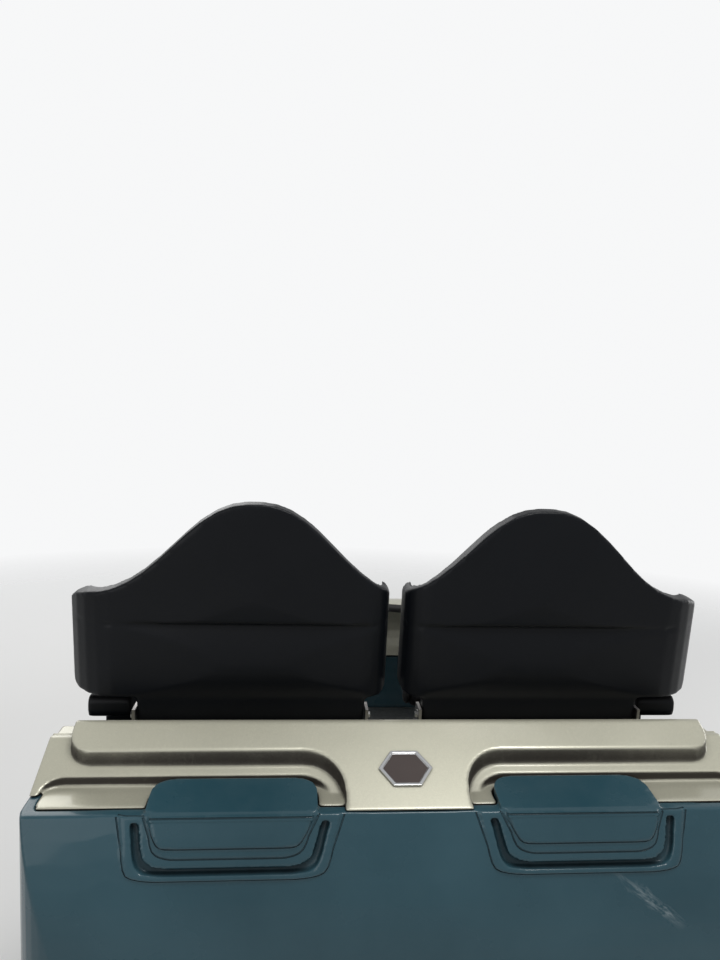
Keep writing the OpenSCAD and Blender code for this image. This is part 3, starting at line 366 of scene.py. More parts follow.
@dataclass(frozen=True)
class Finish:
    """One finish of the car, from its colours to its wear."""

    slot: str
    colour: Colour
    worn: Colour = rgb(0.30, 0.30, 0.29)
    metallic: float = 0.0
    roughness: float = 0.4
    coat: float = 0.0
    coat_roughness: float = 0.08
    wear: float = 0.0
    wear_scale: float = 40.0
    dust: float = 0.15
    dust_scale: float = 6.0
    dust_colour: Colour = rgb(0.24, 0.22, 0.19)
    drift: float = 0.08
    flakes: float = 0.0
    grain: float = 0.0
    grain_scale: float = 900.0
    swell: float = 12.0
    brushing: float = 0.0
    scuffs: bool = False
    specular: float = 0.5
    tread: bool = False
    # Painted shade: a near-black colour laid by ambient occlusion into channels, under lips and on steep
    # walls, where the coat and metal also fade and the surface gets rougher.
    grime: float = 0.0
    grime_reach: float = 0.04
    grime_level: float = 1.0
    grime_walls: float = 0.0
    grime_colour: Colour = rgb(0.020, 0.016, 0.011)

    def build(self, groups: Groups) -> bpy.types.Material:
        """Makes the material.

        Args:
            groups: the shared shader groups.

        Returns:
            A material that is named after the finish's slot.
        """
        material = bpy.data.materials.new(self.slot)
        material.use_nodes = True
        net = Network(material.node_tree)
        place = net.add("TexCoord").outputs["Object"]
        broad = net.add("TexNoise", Vector=place, Scale=3.0, Detail=5.0).outputs["Fac"]
        shade = net.ramp(broad, 0.3, 0.7)
        dark = tuple(c * (1.0 - self.drift * 2.0) for c in self.colour[:3]) + (1.0,)
        light = tuple(min(1.0, c * (1.0 + self.drift)) for c in self.colour[:3]) + (1.0,)
        colour = net.mix(shade, dark, light)
        rough = net.maths("ADD", net.maths("MULTIPLY", shade, 0.06), self.roughness - 0.03)
        metal: object = self.metallic
        if self.flakes:
            flake = net.add("Group", p_node_tree=groups.flakes).outputs["Level"]
            bright = tuple(min(1.0, c * 1.7) for c in self.colour[:3]) + (1.0,)
            glint = net.maths("MULTIPLY", net.ramp(flake, 0.55, 1.0), self.flakes)
            colour = net.mix(glint, colour, bright)
        if self.scuffs:
            mask = self._scuff_mask(net, place)
            colour = net.mix(net.maths("MULTIPLY", mask, 0.55), colour, rgb(0.34, 0.40, 0.42))
            rough = net.maths("ADD", rough, net.maths("MULTIPLY", mask, 0.3), True)
        if self.dust:
            film = net.add("Group", p_node_tree=groups.dust, Amount=self.dust,
                           Scale=self.dust_scale).outputs["Mask"]
            colour = net.mix(film, colour, self.dust_colour)
            rough = net.maths("ADD", rough, net.maths("MULTIPLY", film, 0.4), True)
        if self.wear:
            rub = net.add("Group", p_node_tree=groups.wear, Amount=self.wear,
                          Scale=self.wear_scale).outputs["Mask"]
            colour = net.mix(rub, colour, self.worn)
            rough = net.maths("ADD", rough, net.maths("MULTIPLY", rub, 0.15), True)
        coat: object = self.coat
        # Painted shade: darkens the colour in hollows and on steep walls, and takes the coat and metal away
        # there.
        if self.grime:
            shade_mask = net.add("Group", p_node_tree=groups.grime, Amount=self.grime, Reach=self.grime_reach,
                           Level=self.grime_level, Walls=self.grime_walls).outputs["Mask"]
            colour = net.mix(shade_mask, colour, self.grime_colour)
            rough = net.maths("ADD", rough, net.maths("MULTIPLY", shade_mask, 0.35), True)
            unshaded = net.maths("SUBTRACT", 1.0, shade_mask, True)
            coat = net.maths("MULTIPLY", unshaded, self.coat)
            if self.metallic:
                metal = net.maths("MULTIPLY", unshaded, self.metallic)
        surface = net.add("BsdfPrincipled", Base_Color=colour, Roughness=rough, Metallic=metal,
                          Coat_Weight=coat)
        surface.inputs["Specular IOR Level"].default_value = self.specular
        surface.inputs["Coat Roughness"].default_value = self.coat_roughness
        height = self._height(net, groups)
        if height is not None:
            net.tree.links.new(height, surface.inputs["Normal"])
        net.add("OutputMaterial", Surface=surface.outputs[0])
        return material

    def _height(self, net: Network, groups: Groups) -> bpy.types.NodeSocket | None:
        """Bumps the surface with the finish's grain.

        Args:
            net: the material's network.
            groups: the shared shader groups.

        Returns:
            The bumped normal, or None where the finish is smooth.
        """
        if self.tread:
            node = net.add("Group", p_node_tree=groups.tread)
            bump = net.add("Bump", Height=node.outputs["Height"], Strength=0.9, Distance=0.0022)
            return bump.outputs["Normal"]
        if self.grain:
            node = net.add("Group", p_node_tree=groups.grain, Scale=self.grain_scale, Swell=self.swell)
            strength = self.grain
        elif self.brushing:
            node = net.add("Group", p_node_tree=groups.brushing)
            strength = self.brushing
        else:
            return None
        bump = net.add("Bump", Height=node.outputs["Height"], Strength=strength, Distance=0.0015)
        return bump.outputs["Normal"]

    @staticmethod
    def _scuff_mask(net: Network, place: bpy.types.NodeSocket) -> bpy.types.NodeSocket:
        """A scraped patch low on the right of the tail, running down to the right.

        Args:
            net: the material's network.
            place: the point in metres.

        Returns:
            The mask.
        """
        middle_x, middle_z, tilt = 0.425, 0.918, math.radians(-36.0)
        axes = net.add("SeparateXYZ", Vector=place)
        across = net.maths("SUBTRACT", axes.outputs["X"], middle_x)
        up = net.maths("SUBTRACT", axes.outputs["Z"], middle_z)
        along = net.maths("ADD", net.maths("MULTIPLY", across, math.cos(tilt)),
                          net.maths("MULTIPLY", up, math.sin(tilt)))
        side = net.maths("SUBTRACT", net.maths("MULTIPLY", up, math.cos(tilt)),
                         net.maths("MULTIPLY", across, math.sin(tilt)))
        frame = net.add("CombineXYZ", X=net.maths("MULTIPLY", along, 14.0),
                        Y=net.maths("MULTIPLY", side, 62.0), Z=0.0).outputs[0]
        warp = net.add("TexNoise", Vector=frame, Scale=1.1, Detail=2.0).outputs["Fac"]
        bent = net.maths("ADD", side, net.maths("MULTIPLY", net.maths("SUBTRACT", warp, 0.5), 0.045))
        band = net.maths("SUBTRACT", 1.0, net.ramp(net.maths("ABSOLUTE", bent), 0.001, 0.012), True)
        ends = net.maths("SUBTRACT", 1.0, net.ramp(net.maths("ABSOLUTE", along), 0.035, 0.085), True)
        streak = net.add("TexNoise", Vector=frame, Scale=2.6, Detail=8.0, Roughness=0.72, Distortion=0.9)
        broken = net.ramp(streak.outputs["Fac"], 0.44, 0.66)
        return net.maths("MULTIPLY", net.maths("MULTIPLY", band, ends), broken, True)


# The gold's painted shade is strongest on its steep pocket walls and in undercuts, while faces that look up
# keep most of their brightness.
GOLD = Finish(
    "gold_body", rgb(0.47, 0.46, 0.365), metallic=0.35, roughness=0.34, coat=0.45, flakes=0.5, wear=0.25,
    worn=rgb(0.60, 0.58, 0.52), dust=0.10, drift=0.05, grime=1.1, grime_reach=0.09, grime_level=0.25,
    grime_walls=1.0)
# The teal's painted shade darkens its grooves and seams.
TEAL = Finish(
    "teal_body", rgb(0.024, 0.074, 0.098), roughness=0.27, coat=0.30, coat_roughness=0.06, wear=0.25,
    worn=rgb(0.14, 0.20, 0.22), dust=0.06, drift=0.10, scuffs=True, specular=0.22, grime=0.85,
    grime_reach=0.018, grime_colour=rgb(0.004, 0.008, 0.011))
# The shell's painted shade darkens its grooves and corners.
SHELL = Finish(
    "shell", rgb(0.004, 0.005, 0.007), roughness=0.36, coat=0.03, coat_roughness=0.2, grain=0.10,
    grain_scale=1400.0, swell=60.0, wear=0.05, worn=rgb(0.02, 0.022, 0.026), dust=0.015, specular=0.15,
    grime=0.7, grime_reach=0.03, grime_colour=rgb(0.001, 0.001, 0.001))
VINYL = Finish(
    "pad", rgb(0.010, 0.010, 0.012), roughness=0.47, coat=0.04, coat_roughness=0.35, grain=0.35,
    grain_scale=700.0, swell=25.0, dust=0.04, specular=0.4)
FOAM = Finish(
    "foam", rgb(0.014, 0.014, 0.015), roughness=0.6, grain=0.3, grain_scale=1100.0, swell=40.0, dust=0.04)
STAINLESS = Finish(
    "bar", rgb(0.56, 0.57, 0.58), metallic=1.0, roughness=0.24, brushing=0.12, dust=0.04, drift=0.05)
CHASSIS = Finish(
    "chassis_paint", rgb(0.040, 0.043, 0.048), roughness=0.42, coat=0.15, wear=0.75,
    worn=rgb(0.22, 0.19, 0.16), dust=0.35, dust_scale=9.0, grain=0.08, grain_scale=350.0, swell=90.0)
BARE = Finish(
    "bare_steel", rgb(0.38, 0.37, 0.36), metallic=1.0, roughness=0.36, brushing=0.25, dust=0.18,
    dust_colour=rgb(0.16, 0.11, 0.07), drift=0.14)
PIN = Finish("pin_steel", rgb(0.50, 0.50, 0.49), metallic=1.0, roughness=0.28, brushing=0.1, dust=0.08)
TREAD = Finish(
    "wheel", rgb(0.36, 0.165, 0.040), roughness=0.38, coat=0.15, coat_roughness=0.3, dust=0.30,
    dust_colour=rgb(0.07, 0.05, 0.035), dust_scale=22.0, drift=0.12, grain=0.1, grain_scale=300.0)
HUB = Finish("wheel_hub", rgb(0.46, 0.47, 0.48), metallic=1.0, roughness=0.38, brushing=0.12, dust=0.18)
PLATE = Finish(
    "floor", rgb(0.34, 0.345, 0.35), metallic=0.9, roughness=0.42, dust=0.30, wear=0.4,
    worn=rgb(0.55, 0.55, 0.55), drift=0.12, tread=True)
BADGE = Finish(
    "badge", rgb(0.66, 0.67, 0.68), metallic=1.0, roughness=0.10, brushing=0.05, dust=0.03, drift=0.03)
LENS = Finish(
    "badge_lens", rgb(0.10, 0.080, 0.075), metallic=1.0, roughness=0.14, coat=0.5, dust=0.05, drift=0.12)
RUBBER = Finish(
    "trim_rubber", rgb(0.012, 0.012, 0.012), roughness=0.62, dust=0.12, grain=0.08, specular=0.35)
FINISHES = (
    GOLD, TEAL, SHELL, VINYL, FOAM, STAINLESS, CHASSIS, BARE, PIN, TREAD, HUB, PLATE, BADGE, LENS, RUBBER)


class Palette:
    """Every finish as a material, and the slot that each node names in the record."""

    def __init__(self, frame: dict) -> None:
        """Builds the materials.
        """
        groups = Groups()
        self.materials = {finish.slot: finish.build(groups) for finish in FINISHES}
        record = frame["record"]
        self.slots = {part["node"]: part["material_slot"] for part in record["subparts"]}

    def paint(self, piece: bpy.types.Object, finish: Finish) -> None:
        """Gives a piece one finish alone.

        Args:
            piece: the piece.
            finish: its finish.
        """
        piece.data.materials.clear()
        piece.data.materials.append(self.materials[finish.slot])

    def finish_of(self, node: str) -> Finish:
        """The finish of the node's slot."""
        return next(f for f in FINISHES if f.slot == self.slots[node])


# Modelling habits


def pick(*objects: bpy.types.Object) -> None:
    """Selects these objects alone and makes the first one active.

    Args:
        objects: the objects, or none to deselect everything.
    """
    if bpy.context.object is not None and bpy.context.object.mode != "OBJECT":
        bpy.ops.object.mode_set(mode="OBJECT")
    bpy.ops.object.select_all(action="DESELECT")
    for item in objects:
        item.hide_set(False)
        item.select_set(True)
    if objects:
        bpy.context.view_layer.objects.active = objects[0]


def edit_all(piece: bpy.types.Object) -> None:
    """Enters edit mode with everything selected.

    Args:
        piece: the mesh object.
    """
    pick(piece)
    bpy.ops.object.mode_set(mode="EDIT")
    bpy.ops.mesh.select_mode(type="VERT")
    bpy.ops.mesh.select_all(action="SELECT")


def leave_edit() -> None:
    """Goes back to object mode."""
    bpy.ops.object.mode_set(mode="OBJECT")


def modify(piece: bpy.types.Object, kind: str, **settings: object) -> None:
    """Adds a modifier, sets it and applies it.

    Args:
        piece: the mesh object.
        kind: the modifier's type.
        settings: its properties.
    """
    pick(piece)
    modifier = piece.modifiers.new(kind.lower(), kind)
    for key, value in settings.items():
        setattr(modifier, key, value)
    bpy.ops.object.modifier_apply(modifier=modifier.name)


def settle(piece: bpy.types.Object) -> None:
    """Moves the object's place into its mesh."""
    pick(piece)
    bpy.ops.object.transform_apply(location=True, rotation=True, scale=True)


def smooth_by(piece: bpy.types.Object, degrees: float) -> None:
    """Shades the piece smooth, except across edges sharper than that."""
    pick(piece)
    bpy.ops.object.shade_smooth_by_angle(angle=math.radians(degrees))


def join(pieces: Sequence[bpy.types.Object], name: str) -> bpy.types.Object:
    """Makes one named object of several.

    Args:
        pieces: the objects, of which the first is kept.
        name: the whole's name.

    Returns:
        The whole.
    """
    pick(*pieces)
    if len(pieces) > 1:
        bpy.ops.object.join()
    whole = bpy.context.view_layer.objects.active
    whole.name = name
    whole.data.name = name
    return whole


def twin(piece: bpy.types.Object, name: str, matrix: Matrix) -> bpy.types.Object:
    """A copy with its own mesh, whose faces stay outward where it is mirrored.

    Args:
        piece: what is copied.
        name: the copy's name.
        matrix: where the copy's mesh goes.

    Returns:
        The copy, at the origin.
    """
    mesh = piece.data.copy()
    mesh.transform(matrix)
    if matrix.determinant() < 0.0:
        mesh.flip_normals()
    copy = bpy.data.objects.new(name, mesh)
    bpy.context.scene.collection.objects.link(copy)
    return copy


def ease(value: float, low: float, high: float) -> float:
    """0 below low, 1 above high, and a smooth rise between."""
    share = min(1.0, max(0.0, (value - low) / (high - low)))
    return share * share * (3.0 - 2.0 * share)


def facing(point: Point, direction: Point) -> Matrix:
    """The placement that puts a piece's foot on the point with its Z along the direction."""
    return Matrix.Translation(point) @ Vector(direction).to_track_quat("Z", "Y").to_matrix().to_4x4()


def turned(name: str, profile: Sequence[tuple[float, float]], sides: int = 32) -> bpy.types.Object:
    """A turned piece on the Z axis, drawn out of one circle step by step.

    Args:
        name: the piece's name.
        profile: radius and height of each step, from the foot to the top, closed flat at both ends.
        sides: how many sides the circle has.

    Returns:
        The piece, with its foot at the origin's height.
    """
    radius, height = profile[0]
    pick()
    bpy.ops.mesh.primitive_circle_add(vertices=sides, radius=radius, fill_type="NGON",
                                      location=(0.0, 0.0, height))
    piece = bpy.context.object
    piece.name = name
    settle(piece)
    edit_all(piece)
    for next_radius, next_height in profile[1:]:
        bpy.ops.mesh.extrude_region_move(TRANSFORM_OT_translate={"value": (0.0, 0.0, next_height - height)})
        scale = next_radius / radius
        bpy.ops.transform.resize(value=(scale, scale, 1.0), center_override=(0.0, 0.0, next_height))
        radius, height = next_radius, next_height
    bpy.ops.mesh.select_all(action="SELECT")
    bpy.ops.mesh.normals_make_consistent(inside=False)
    leave_edit()
    smooth_by(piece, 42.0)
    return piece


def bead(name: str, points: Sequence[Point], radius: float, sides: int = 3) -> bpy.types.Object:
    """A round bead along the points.

    Args:
        name: the piece's name.
        points: where the bead's centre runs.
        radius: the bead's radius in metres.
        sides: the bevel's resolution.

    Returns:
        The bead as a mesh.
    """
    curve = bpy.data.curves.new(name, "CURVE")
    curve.dimensions = "3D"
    curve.bevel_depth = radius
    curve.bevel_resolution = sides
    curve.use_fill_caps = True
    line = curve.splines.new("POLY")
    line.points.add(len(points) - 1)
    for knot, place in zip(line.points, points):
        knot.co = (*place, 1.0)
    piece = bpy.data.objects.new(name, curve)
    bpy.context.scene.collection.objects.link(piece)
    pick(piece)
    bpy.ops.object.convert(target="MESH")
    smooth_by(piece, 60.0)
    return piece


def traced(piece: bpy.types.Object, places: Iterable[tuple[float, float]]) -> list[Point]:
    """The points where rays that run forward from behind the car meet the piece.

    Args:
        piece: the mesh object.
        places: x and z of each ray.

    Returns:
        The places on the piece's near face, without the rays that miss it.
    """
    behind = -3.0
    points = []
    for x, z in places:
        hit, place, _, _ = piece.ray_cast(Vector((x, behind, z)), Vector((0.0, 1.0, 0.0)))
        if hit:
            points.append(tuple(place))
    return points


def scored(piece: bpy.types.Object, lines: Iterable[Sequence[Point]], radius: float) -> None:
    """Cuts round-bottomed lines into a piece.

    Args:
        piece: the mesh object.
        lines: where each line runs, as points on the piece.
        radius: half the line's width in metres.
    """
    for points in lines:
        cutter = bead("cutter", points, radius, sides=2)
        edit_all(cutter)
        bpy.ops.mesh.remove_doubles(threshold=0.01 * MM)
        bpy.ops.mesh.normals_make_consistent(inside=False)
        leave_edit()
        modify(piece, "BOOLEAN", operation="DIFFERENCE", solver="MANIFOLD", object=cutter)
        bpy.data.objects.remove(cutter)
    smooth_by(piece, 50.0)


class Workshop:
    """Copies CAD nodes and turns each copy into the piece that shows."""

    def __init__(self, frame: dict, palette: Palette) -> None:
        """Notes which body each node rides on.

        Args:
            palette: the finishes.
        """
        self.frame = frame
        self.palette = palette
        bodies = frame["record"]["behaviour"]["bodies"]
        self.body_of = {node: body for body, nodes in bodies.items() for node in nodes}
        self.done: set[str] = set()

    def copy(self, node: str) -> bpy.types.Object:
        """A merged copy of a node's mesh, with nothing on it.

        Args:
            node: the CAD node.

        Returns:
            The copy, at the origin.
        """
        source = self.frame["nodes"][node]
        mesh = source.data.copy()
        mesh.transform(source.matrix_world)
        piece = bpy.data.objects.new("dressed_" + node, mesh)
        bpy.context.scene.collection.objects.link(piece)
        mesh.materials.clear()
        edit_all(piece)
        bpy.ops.mesh.remove_doubles(threshold=0.00002)
        leave_edit()
        return piece

    def add(self, piece: bpy.types.Object, body: str, finish: Finish) -> bpy.types.Object:
        """Paints a new piece and lets it ride on a body.

        Args:
            piece: the piece.
            body: the CAD body.
            finish: its finish.

        Returns:
            The piece.
        """
        self.palette.paint(piece, finish)
        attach(piece, body)
        LOG.info("%s: %d faces on %s", piece.name, len(piece.data.polygons), body)
        return piece

    def hand_over(self, piece: bpy.types.Object, node: str,
                  finish: Finish | None = None) -> bpy.types.Object:
        """Adds a piece in a node's place and on the node's body.

        Args:
            piece: the piece.
            node: the CAD node that it stands for.
            finish: a finish in place of the record's.

        Returns:
            The piece.
        """
        self.add(piece, self.body_of[node], finish or self.palette.finish_of(node))
        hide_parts(node)
        self.done.add(node)
        return piece

    def pad(self, model: bpy.types.Object, node: str, side: Side, fill: float) -> None:
        """Puts one side's copy of a stuffed right-hand pad in its node's place.

        Args:
            model: the right-hand pad.
            node: the CAD node.
            side: the side.
            fill: how full the pad is, from 0 to 1; not used.
        """
        piece = twin(model, "dressed_" + node, side.matrix)
        pick(piece)
        bpy.ops.object.shade_smooth()
        self.hand_over(piece, node)

    def crisp(self, node: str, bevel: float = 1.5 * MM, segments: int = 2) -> bpy.types.Object:
        """A machined or cut piece: flat faces made whole and every sharp edge broken.

        Args:
            node: the CAD node.
            bevel: the broken edge's width in metres.
            segments: how many faces round each edge has.

        Returns:
            The dressed piece.
        """
        piece = self.copy(node)
        edit_all(piece)
        bpy.ops.mesh.dissolve_limited(angle_limit=math.radians(0.6))
        leave_edit()
        modify(piece, "BEVEL", width=bevel, segments=segments, limit_method="ANGLE",
               angle_limit=math.radians(32), use_clamp_overlap=True)
        smooth_by(piece, 40.0)
        modify(piece, "WEIGHTED_NORMAL", keep_sharp=True)
        return self.hand_over(piece, node)

    def moulded(self, node: str, voxel: float, rounds: int = 6, finish: Finish | None = None,
                keep: float = 1.0, shape: Callable[[Vector], Vector] | None = None) -> bpy.types.Object:
        """A moulded shell: one even skin whose edges are softened as a mould's are.

        Args:
            node: the CAD node.
            voxel: the skin's cell size in metres.
            rounds: how often the skin is smoothed.
            finish: a finish in place of the record's.
            keep: the share of the skin's faces that stays.
            shape: moves each point of the skin, where it is given.

        Returns:
            The dressed piece.
        """
        piece = self.copy(node)
        cell = voxel * 1.0
        modify(piece, "REMESH", mode="VOXEL", voxel_size=cell, use_smooth_shade=True)
        modify(piece, "SMOOTH", factor=0.5, iterations=rounds)
        if shape is not None:
            for vertex in piece.data.vertices:
                vertex.co = shape(vertex.co)
        if keep < 1.0:
            modify(piece, "DECIMATE", decimate_type="COLLAPSE", ratio=keep)
        pick(piece)
        bpy.ops.object.shade_smooth()
        return self.hand_over(piece, node, finish)


@dataclass(frozen=True)
class Marks:
    """The construction's main places and heights, in metres."""

    seat_y: float
    hood_y: float
    tail_y: float
    deck_z: float
    cushion_z: float
    floor_z: float
    beam_z: float
    riser_z: float
    half: float
    seat_x: float = 0.292
    rear_axle: float = -0.530
    front_axle: float = 0.530
    rail_x: float = 0.45
    road_z: float = 0.378
    rail_z: float = 0.203
    upstop_z: float = 0.075
    axle_z: float = 0.3595
    outer_x: float = 0.523
    inner_x: float = 0.395
    side_x: float = 0.576
    side_ahead: float = 0.150
    coupling_z: float = 0.372

    @classmethod
    def read(cls) -> "Marks":
        """Reads the places and heights that follow the CAD nodes' boxes.

        Returns:
            The marks.
        """
        seat_gap = 3 * MM
        beam_inset = 80 * MM
        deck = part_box("rear_deck")
        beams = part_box("chassis_beams")
        return cls(
            seat_y=deck[1][1] + seat_gap, hood_y=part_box("nose_hood")[0][1], tail_y=beams[0][1] - beam_inset,
            deck_z=deck[1][2], cushion_z=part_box("seat_cushion_right")[1][2],
            floor_z=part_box("floor_pan")[1][2], beam_z=beams[0][2], riser_z=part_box("seat_brackets")[0][2],
            half=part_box("side_panel_right")[1][0])


class Fasteners:
    """Bolt and screw heads on one body, each kind modelled once and copied."""

    def __init__(self, shop: Workshop, name: str, body: str, finish: Finish) -> None:
        """Starts an empty set.

        Args:
            shop: the workshop.
            name: the joined piece's name.
            body: the CAD body they ride on.
            finish: their finish.
        """
        self.shop = shop
        self.name = name
        self.body = body
        self.finish = finish
        self.heads: list[bpy.types.Object] = []
        self.models: dict[tuple[Kind, float], bpy.types.Object] = {}

    def _model(self, kind: Kind, radius: float) -> bpy.types.Object:
        """Models one head on its washer.

        Args:
            kind: hexagon or dome.
            radius: half the head's width in metres.

        Returns:
            The head with its washer, foot at the origin.
        """
        if kind is Kind.HEX:
            profile = [(radius, 0.12 * radius), (radius, 0.68 * radius), (radius * 0.88, 0.76 * radius)]
            head = turned("head", profile, 6)
            rim = [(radius * 1.4, 0.0), (radius * 1.4, radius * 0.12), (radius * 1.3, radius * 0.17)]
            washer = turned("washer", rim, 20)
        else:
            profile = [(radius, 0.0), (radius * 0.96, 0.18 * radius), (radius * 0.74, 0.36 * radius),
                       (radius * 0.40, 0.46 * radius), (radius * 0.36, 0.20 * radius)]
            head = turned("head", profile, 14)
            rim = [(radius * 1.15, -0.02 * radius), (radius * 1.15, radius * 0.06)]
            washer = turned("washer", rim, 14)
        return join([head, washer], "fastener_model")

    def put(self, kind: Kind, radius: float, direction: Point, points: Iterable[Point]) -> None:
        """Places heads of one kind.

        Args:
            kind: hexagon or dome.
            radius: half the head's width in metres.
            direction: the way the heads face.
            points: where they sit.
        """
        key = (kind, radius)
        if key not in self.models:
            self.models[key] = self._model(kind, radius)
        for place in points:
            self.heads.append(twin(self.models[key], "head", facing(place, direction)))

    def finish_set(self) -> bpy.types.Object:
        """Joins the heads into one piece and drops the models.

        Returns:
            The piece.
        """
        for model in self.models.values():
            bpy.data.objects.remove(model)
        return self.shop.add(join(self.heads, self.name), self.body, self.finish)


@dataclass(frozen=True)
class TailShape:
    """The tail's two mouldings, and how the skin is drawn so that their lines lie as in the photograph.

    Across is measured outwards from a moulding's middle and deep downwards from the seam, both in metres.
    """

    tail_y: float
    middle_x: float = 0.308
    width: float = 0.292
    drop: float = 0.072
    line_z: float = 1.0644
    proud: float = 0.012
    full_z: float = 0.8
    draw_in: float = 0.052
    wrap_half: float = 0.152
    wrap_y: float = -0.675
    wrap_rise: float = 0.018
    slot_half: float = 0.138
    slot_deep: float = 0.009
    slot_in: float = 0.010
    reach_deep: float = 0.180
    reach_out: float = 0.250
    reach_in: float = 0.075
    corner_out: float = 0.092
    corner_deep: float = 0.030
    corner_r: float = 0.042
    corner_lean: float = 0.012
    corner_growth: float = 2.414
    squareness: float = 5.5
    strength: float = 0.5
    slant: float = 0.11
    near_fade: tuple[float, float] = (0.010, 0.032)
    far_fade: tuple[float, float] = (0.105, 0.150)
    slant_fade: tuple[float, float] = (0.050, 0.110)
    side_fade: tuple[float, float] = (0.200, 0.245)
    lifts: tuple[tuple[float, float], ...] = (
        (0.0, 0.0), (0.059, 0.011), (0.074, 0.0095), (0.0965, 0.0075), (0.119, 0.018), (0.180, 0.0))

    def drawn(self, height: float) -> float:
        """How far the tail's skin is drawn in at a height."""
        share = max(0.0, (height - self.full_z) / (self.line_z - self.full_z))
        return self.draw_in * share * share

    def moved(self, place: Vector) -> Vector:
        """Draws one point of the skin.

        Args:
            place: the point.

        Returns:
            Where it goes: tighter corners, and the lower lines closer to the seam.
        """
        deep = self.line_z - place.z
        across = abs(place.x) - self.middle_x
        if deep < 0.0:
            return self._on_wrap(place, across)
        if deep >= self.reach_deep or abs(across) > self.reach_out or place.y > self.tail_y + self.reach_in:
            return place
        face_y = self.tail_y + self.drawn(place.z) - self.proud
        in_slot = deep < self.slot_deep and abs(across) < self.slot_half
        if in_slot and face_y < place.y < face_y + self.slot_in:
            return Vector((place.x, face_y, place.z))
        across, deep = self._squared(across, deep)
        fade = 1.0 - ease(abs(across), *self.side_fade)
        if across < 0.0:
            across += self.slant * deep * ease(-across, *self.slant_fade) * fade
            fade = 1.0 - ease(abs(across), *self.side_fade)
        height = self.line_z - deep + self._lift(deep) * fade
        return Vector((math.copysign(self.middle_x + across, place.x),
                       place.y + self.drawn(height) - self.drawn(place.z), height))

    def _on_wrap(self, place: Vector, across: float) -> Vector:
        """Keeps the part that wraps onto the deck under one flat facet.

        Args:
            place: a point above the seam.
            across: how far outside the moulding's middle it lies.

        Returns:
            Where the point goes.
        """
        if abs(across) >= self.wrap_half or place.y >= self.wrap_y:
            return place
        front = self.tail_y + self.draw_in - self.proud
        share = max(0.0, (place.y - front) / (self.wrap_y - front))
        return Vector((place.x, place.y, min(place.z, self.line_z + self.wrap_rise * share)))

    def _squared(self, across: float, deep: float) -> tuple[float, float]:
        """Pushes a point at a moulding's lower corner outwards, so that the corner is tighter.

        Args:
            across: how far outside the moulding's middle the point lies.
            deep: how far below the seam it lies.

        Returns:
            The two distances after the push.
        """
        u = abs(across) - self.corner_out
        v = deep - self.corner_deep
        if u <= 0.0 or v <= 0.0:
            return across, deep
        far = math.hypot(u, v)
        out = max(0.0, far - self.corner_r) / self.corner_growth
        u -= out
        v -= out
        near = math.hypot(u, v)
        if u > 0.0 and v > 0.0 and near > 1 * MM:
            power = self.squareness
            swell = ((u / near) ** power + (v / near) ** power) ** (-1.0 / power) - 1.0
            fade = ease(far, *self.near_fade) * (1.0 - ease(far, *self.far_fade))
            push = (self.corner_r + out) * swell * self.strength * fade
            u, v = u + u / near * push, v + v / near * push
        return math.copysign(u + out + self.corner_out, across), v + out + self.corner_deep

    def _lift(self, deep: float) -> float:
        """How far a line at that depth is lifted towards the seam.

        Args:
            deep: how far below the seam the line lies.

        Returns:
            The lift in metres.
        """
        for (d0, s0), (d1, s1) in zip(self.lifts, self.lifts[1:]):
            if d0 <= deep < d1:
                return s0 + (s1 - s0) * (deep - d0) / (d1 - d0)
        return 0.0

    def outline(self, side: Side, out: float, rise: float, top: float) -> list[tuple[float, float]]:
        """The outline of one moulding after the draw, from its inner top down and up to its outer top.

        Args:
            side: which moulding.
            out: how far outside the moulding's own outline.
            rise: how far its lower edge is lifted.
            top: how far below the seam it starts and ends.

        Returns:
            The outline as x and z.
        """
        half = self.width / 2.0 + out
        foot = self.line_z - self.drop - out + rise
        turn = self.corner_r + out / 2.0
        middle = half - turn - self.corner_lean
        sweep, steps = 78.0, 8
        places = [(-half, self.line_z - top)]
        for centre, start in ((-middle, 192.0), (middle, 270.0)):
            for k in range(steps + 1):
                angle = math.radians(start + sweep * k / steps)
                places.append((centre + turn * math.cos(angle), foot + turn + turn * math.sin(angle)))
        places.append((half, self.line_z - top))
        moved = [self.moved(Vector((self.middle_x + x, self.tail_y, z))) for x, z in places]
        return [(side.value * point.x, point.z) for point in moved]

    def seam(self, side: Side) -> list[tuple[float, float]]:
        """The seam across one moulding.

        Args:
            side: which moulding.

        Returns:
            The line as x and z, from its inner to its outer end.
        """
        inner = self.middle_x - self.width / 2.0 - 4 * MM
        outer = self.middle_x + self.width / 2.0 + 45 * MM
        steps = 24
        height = self.line_z - 3 * MM
        return [(side.value * (inner + (outer - inner) * k / steps), height) for k in range(steps + 1)]


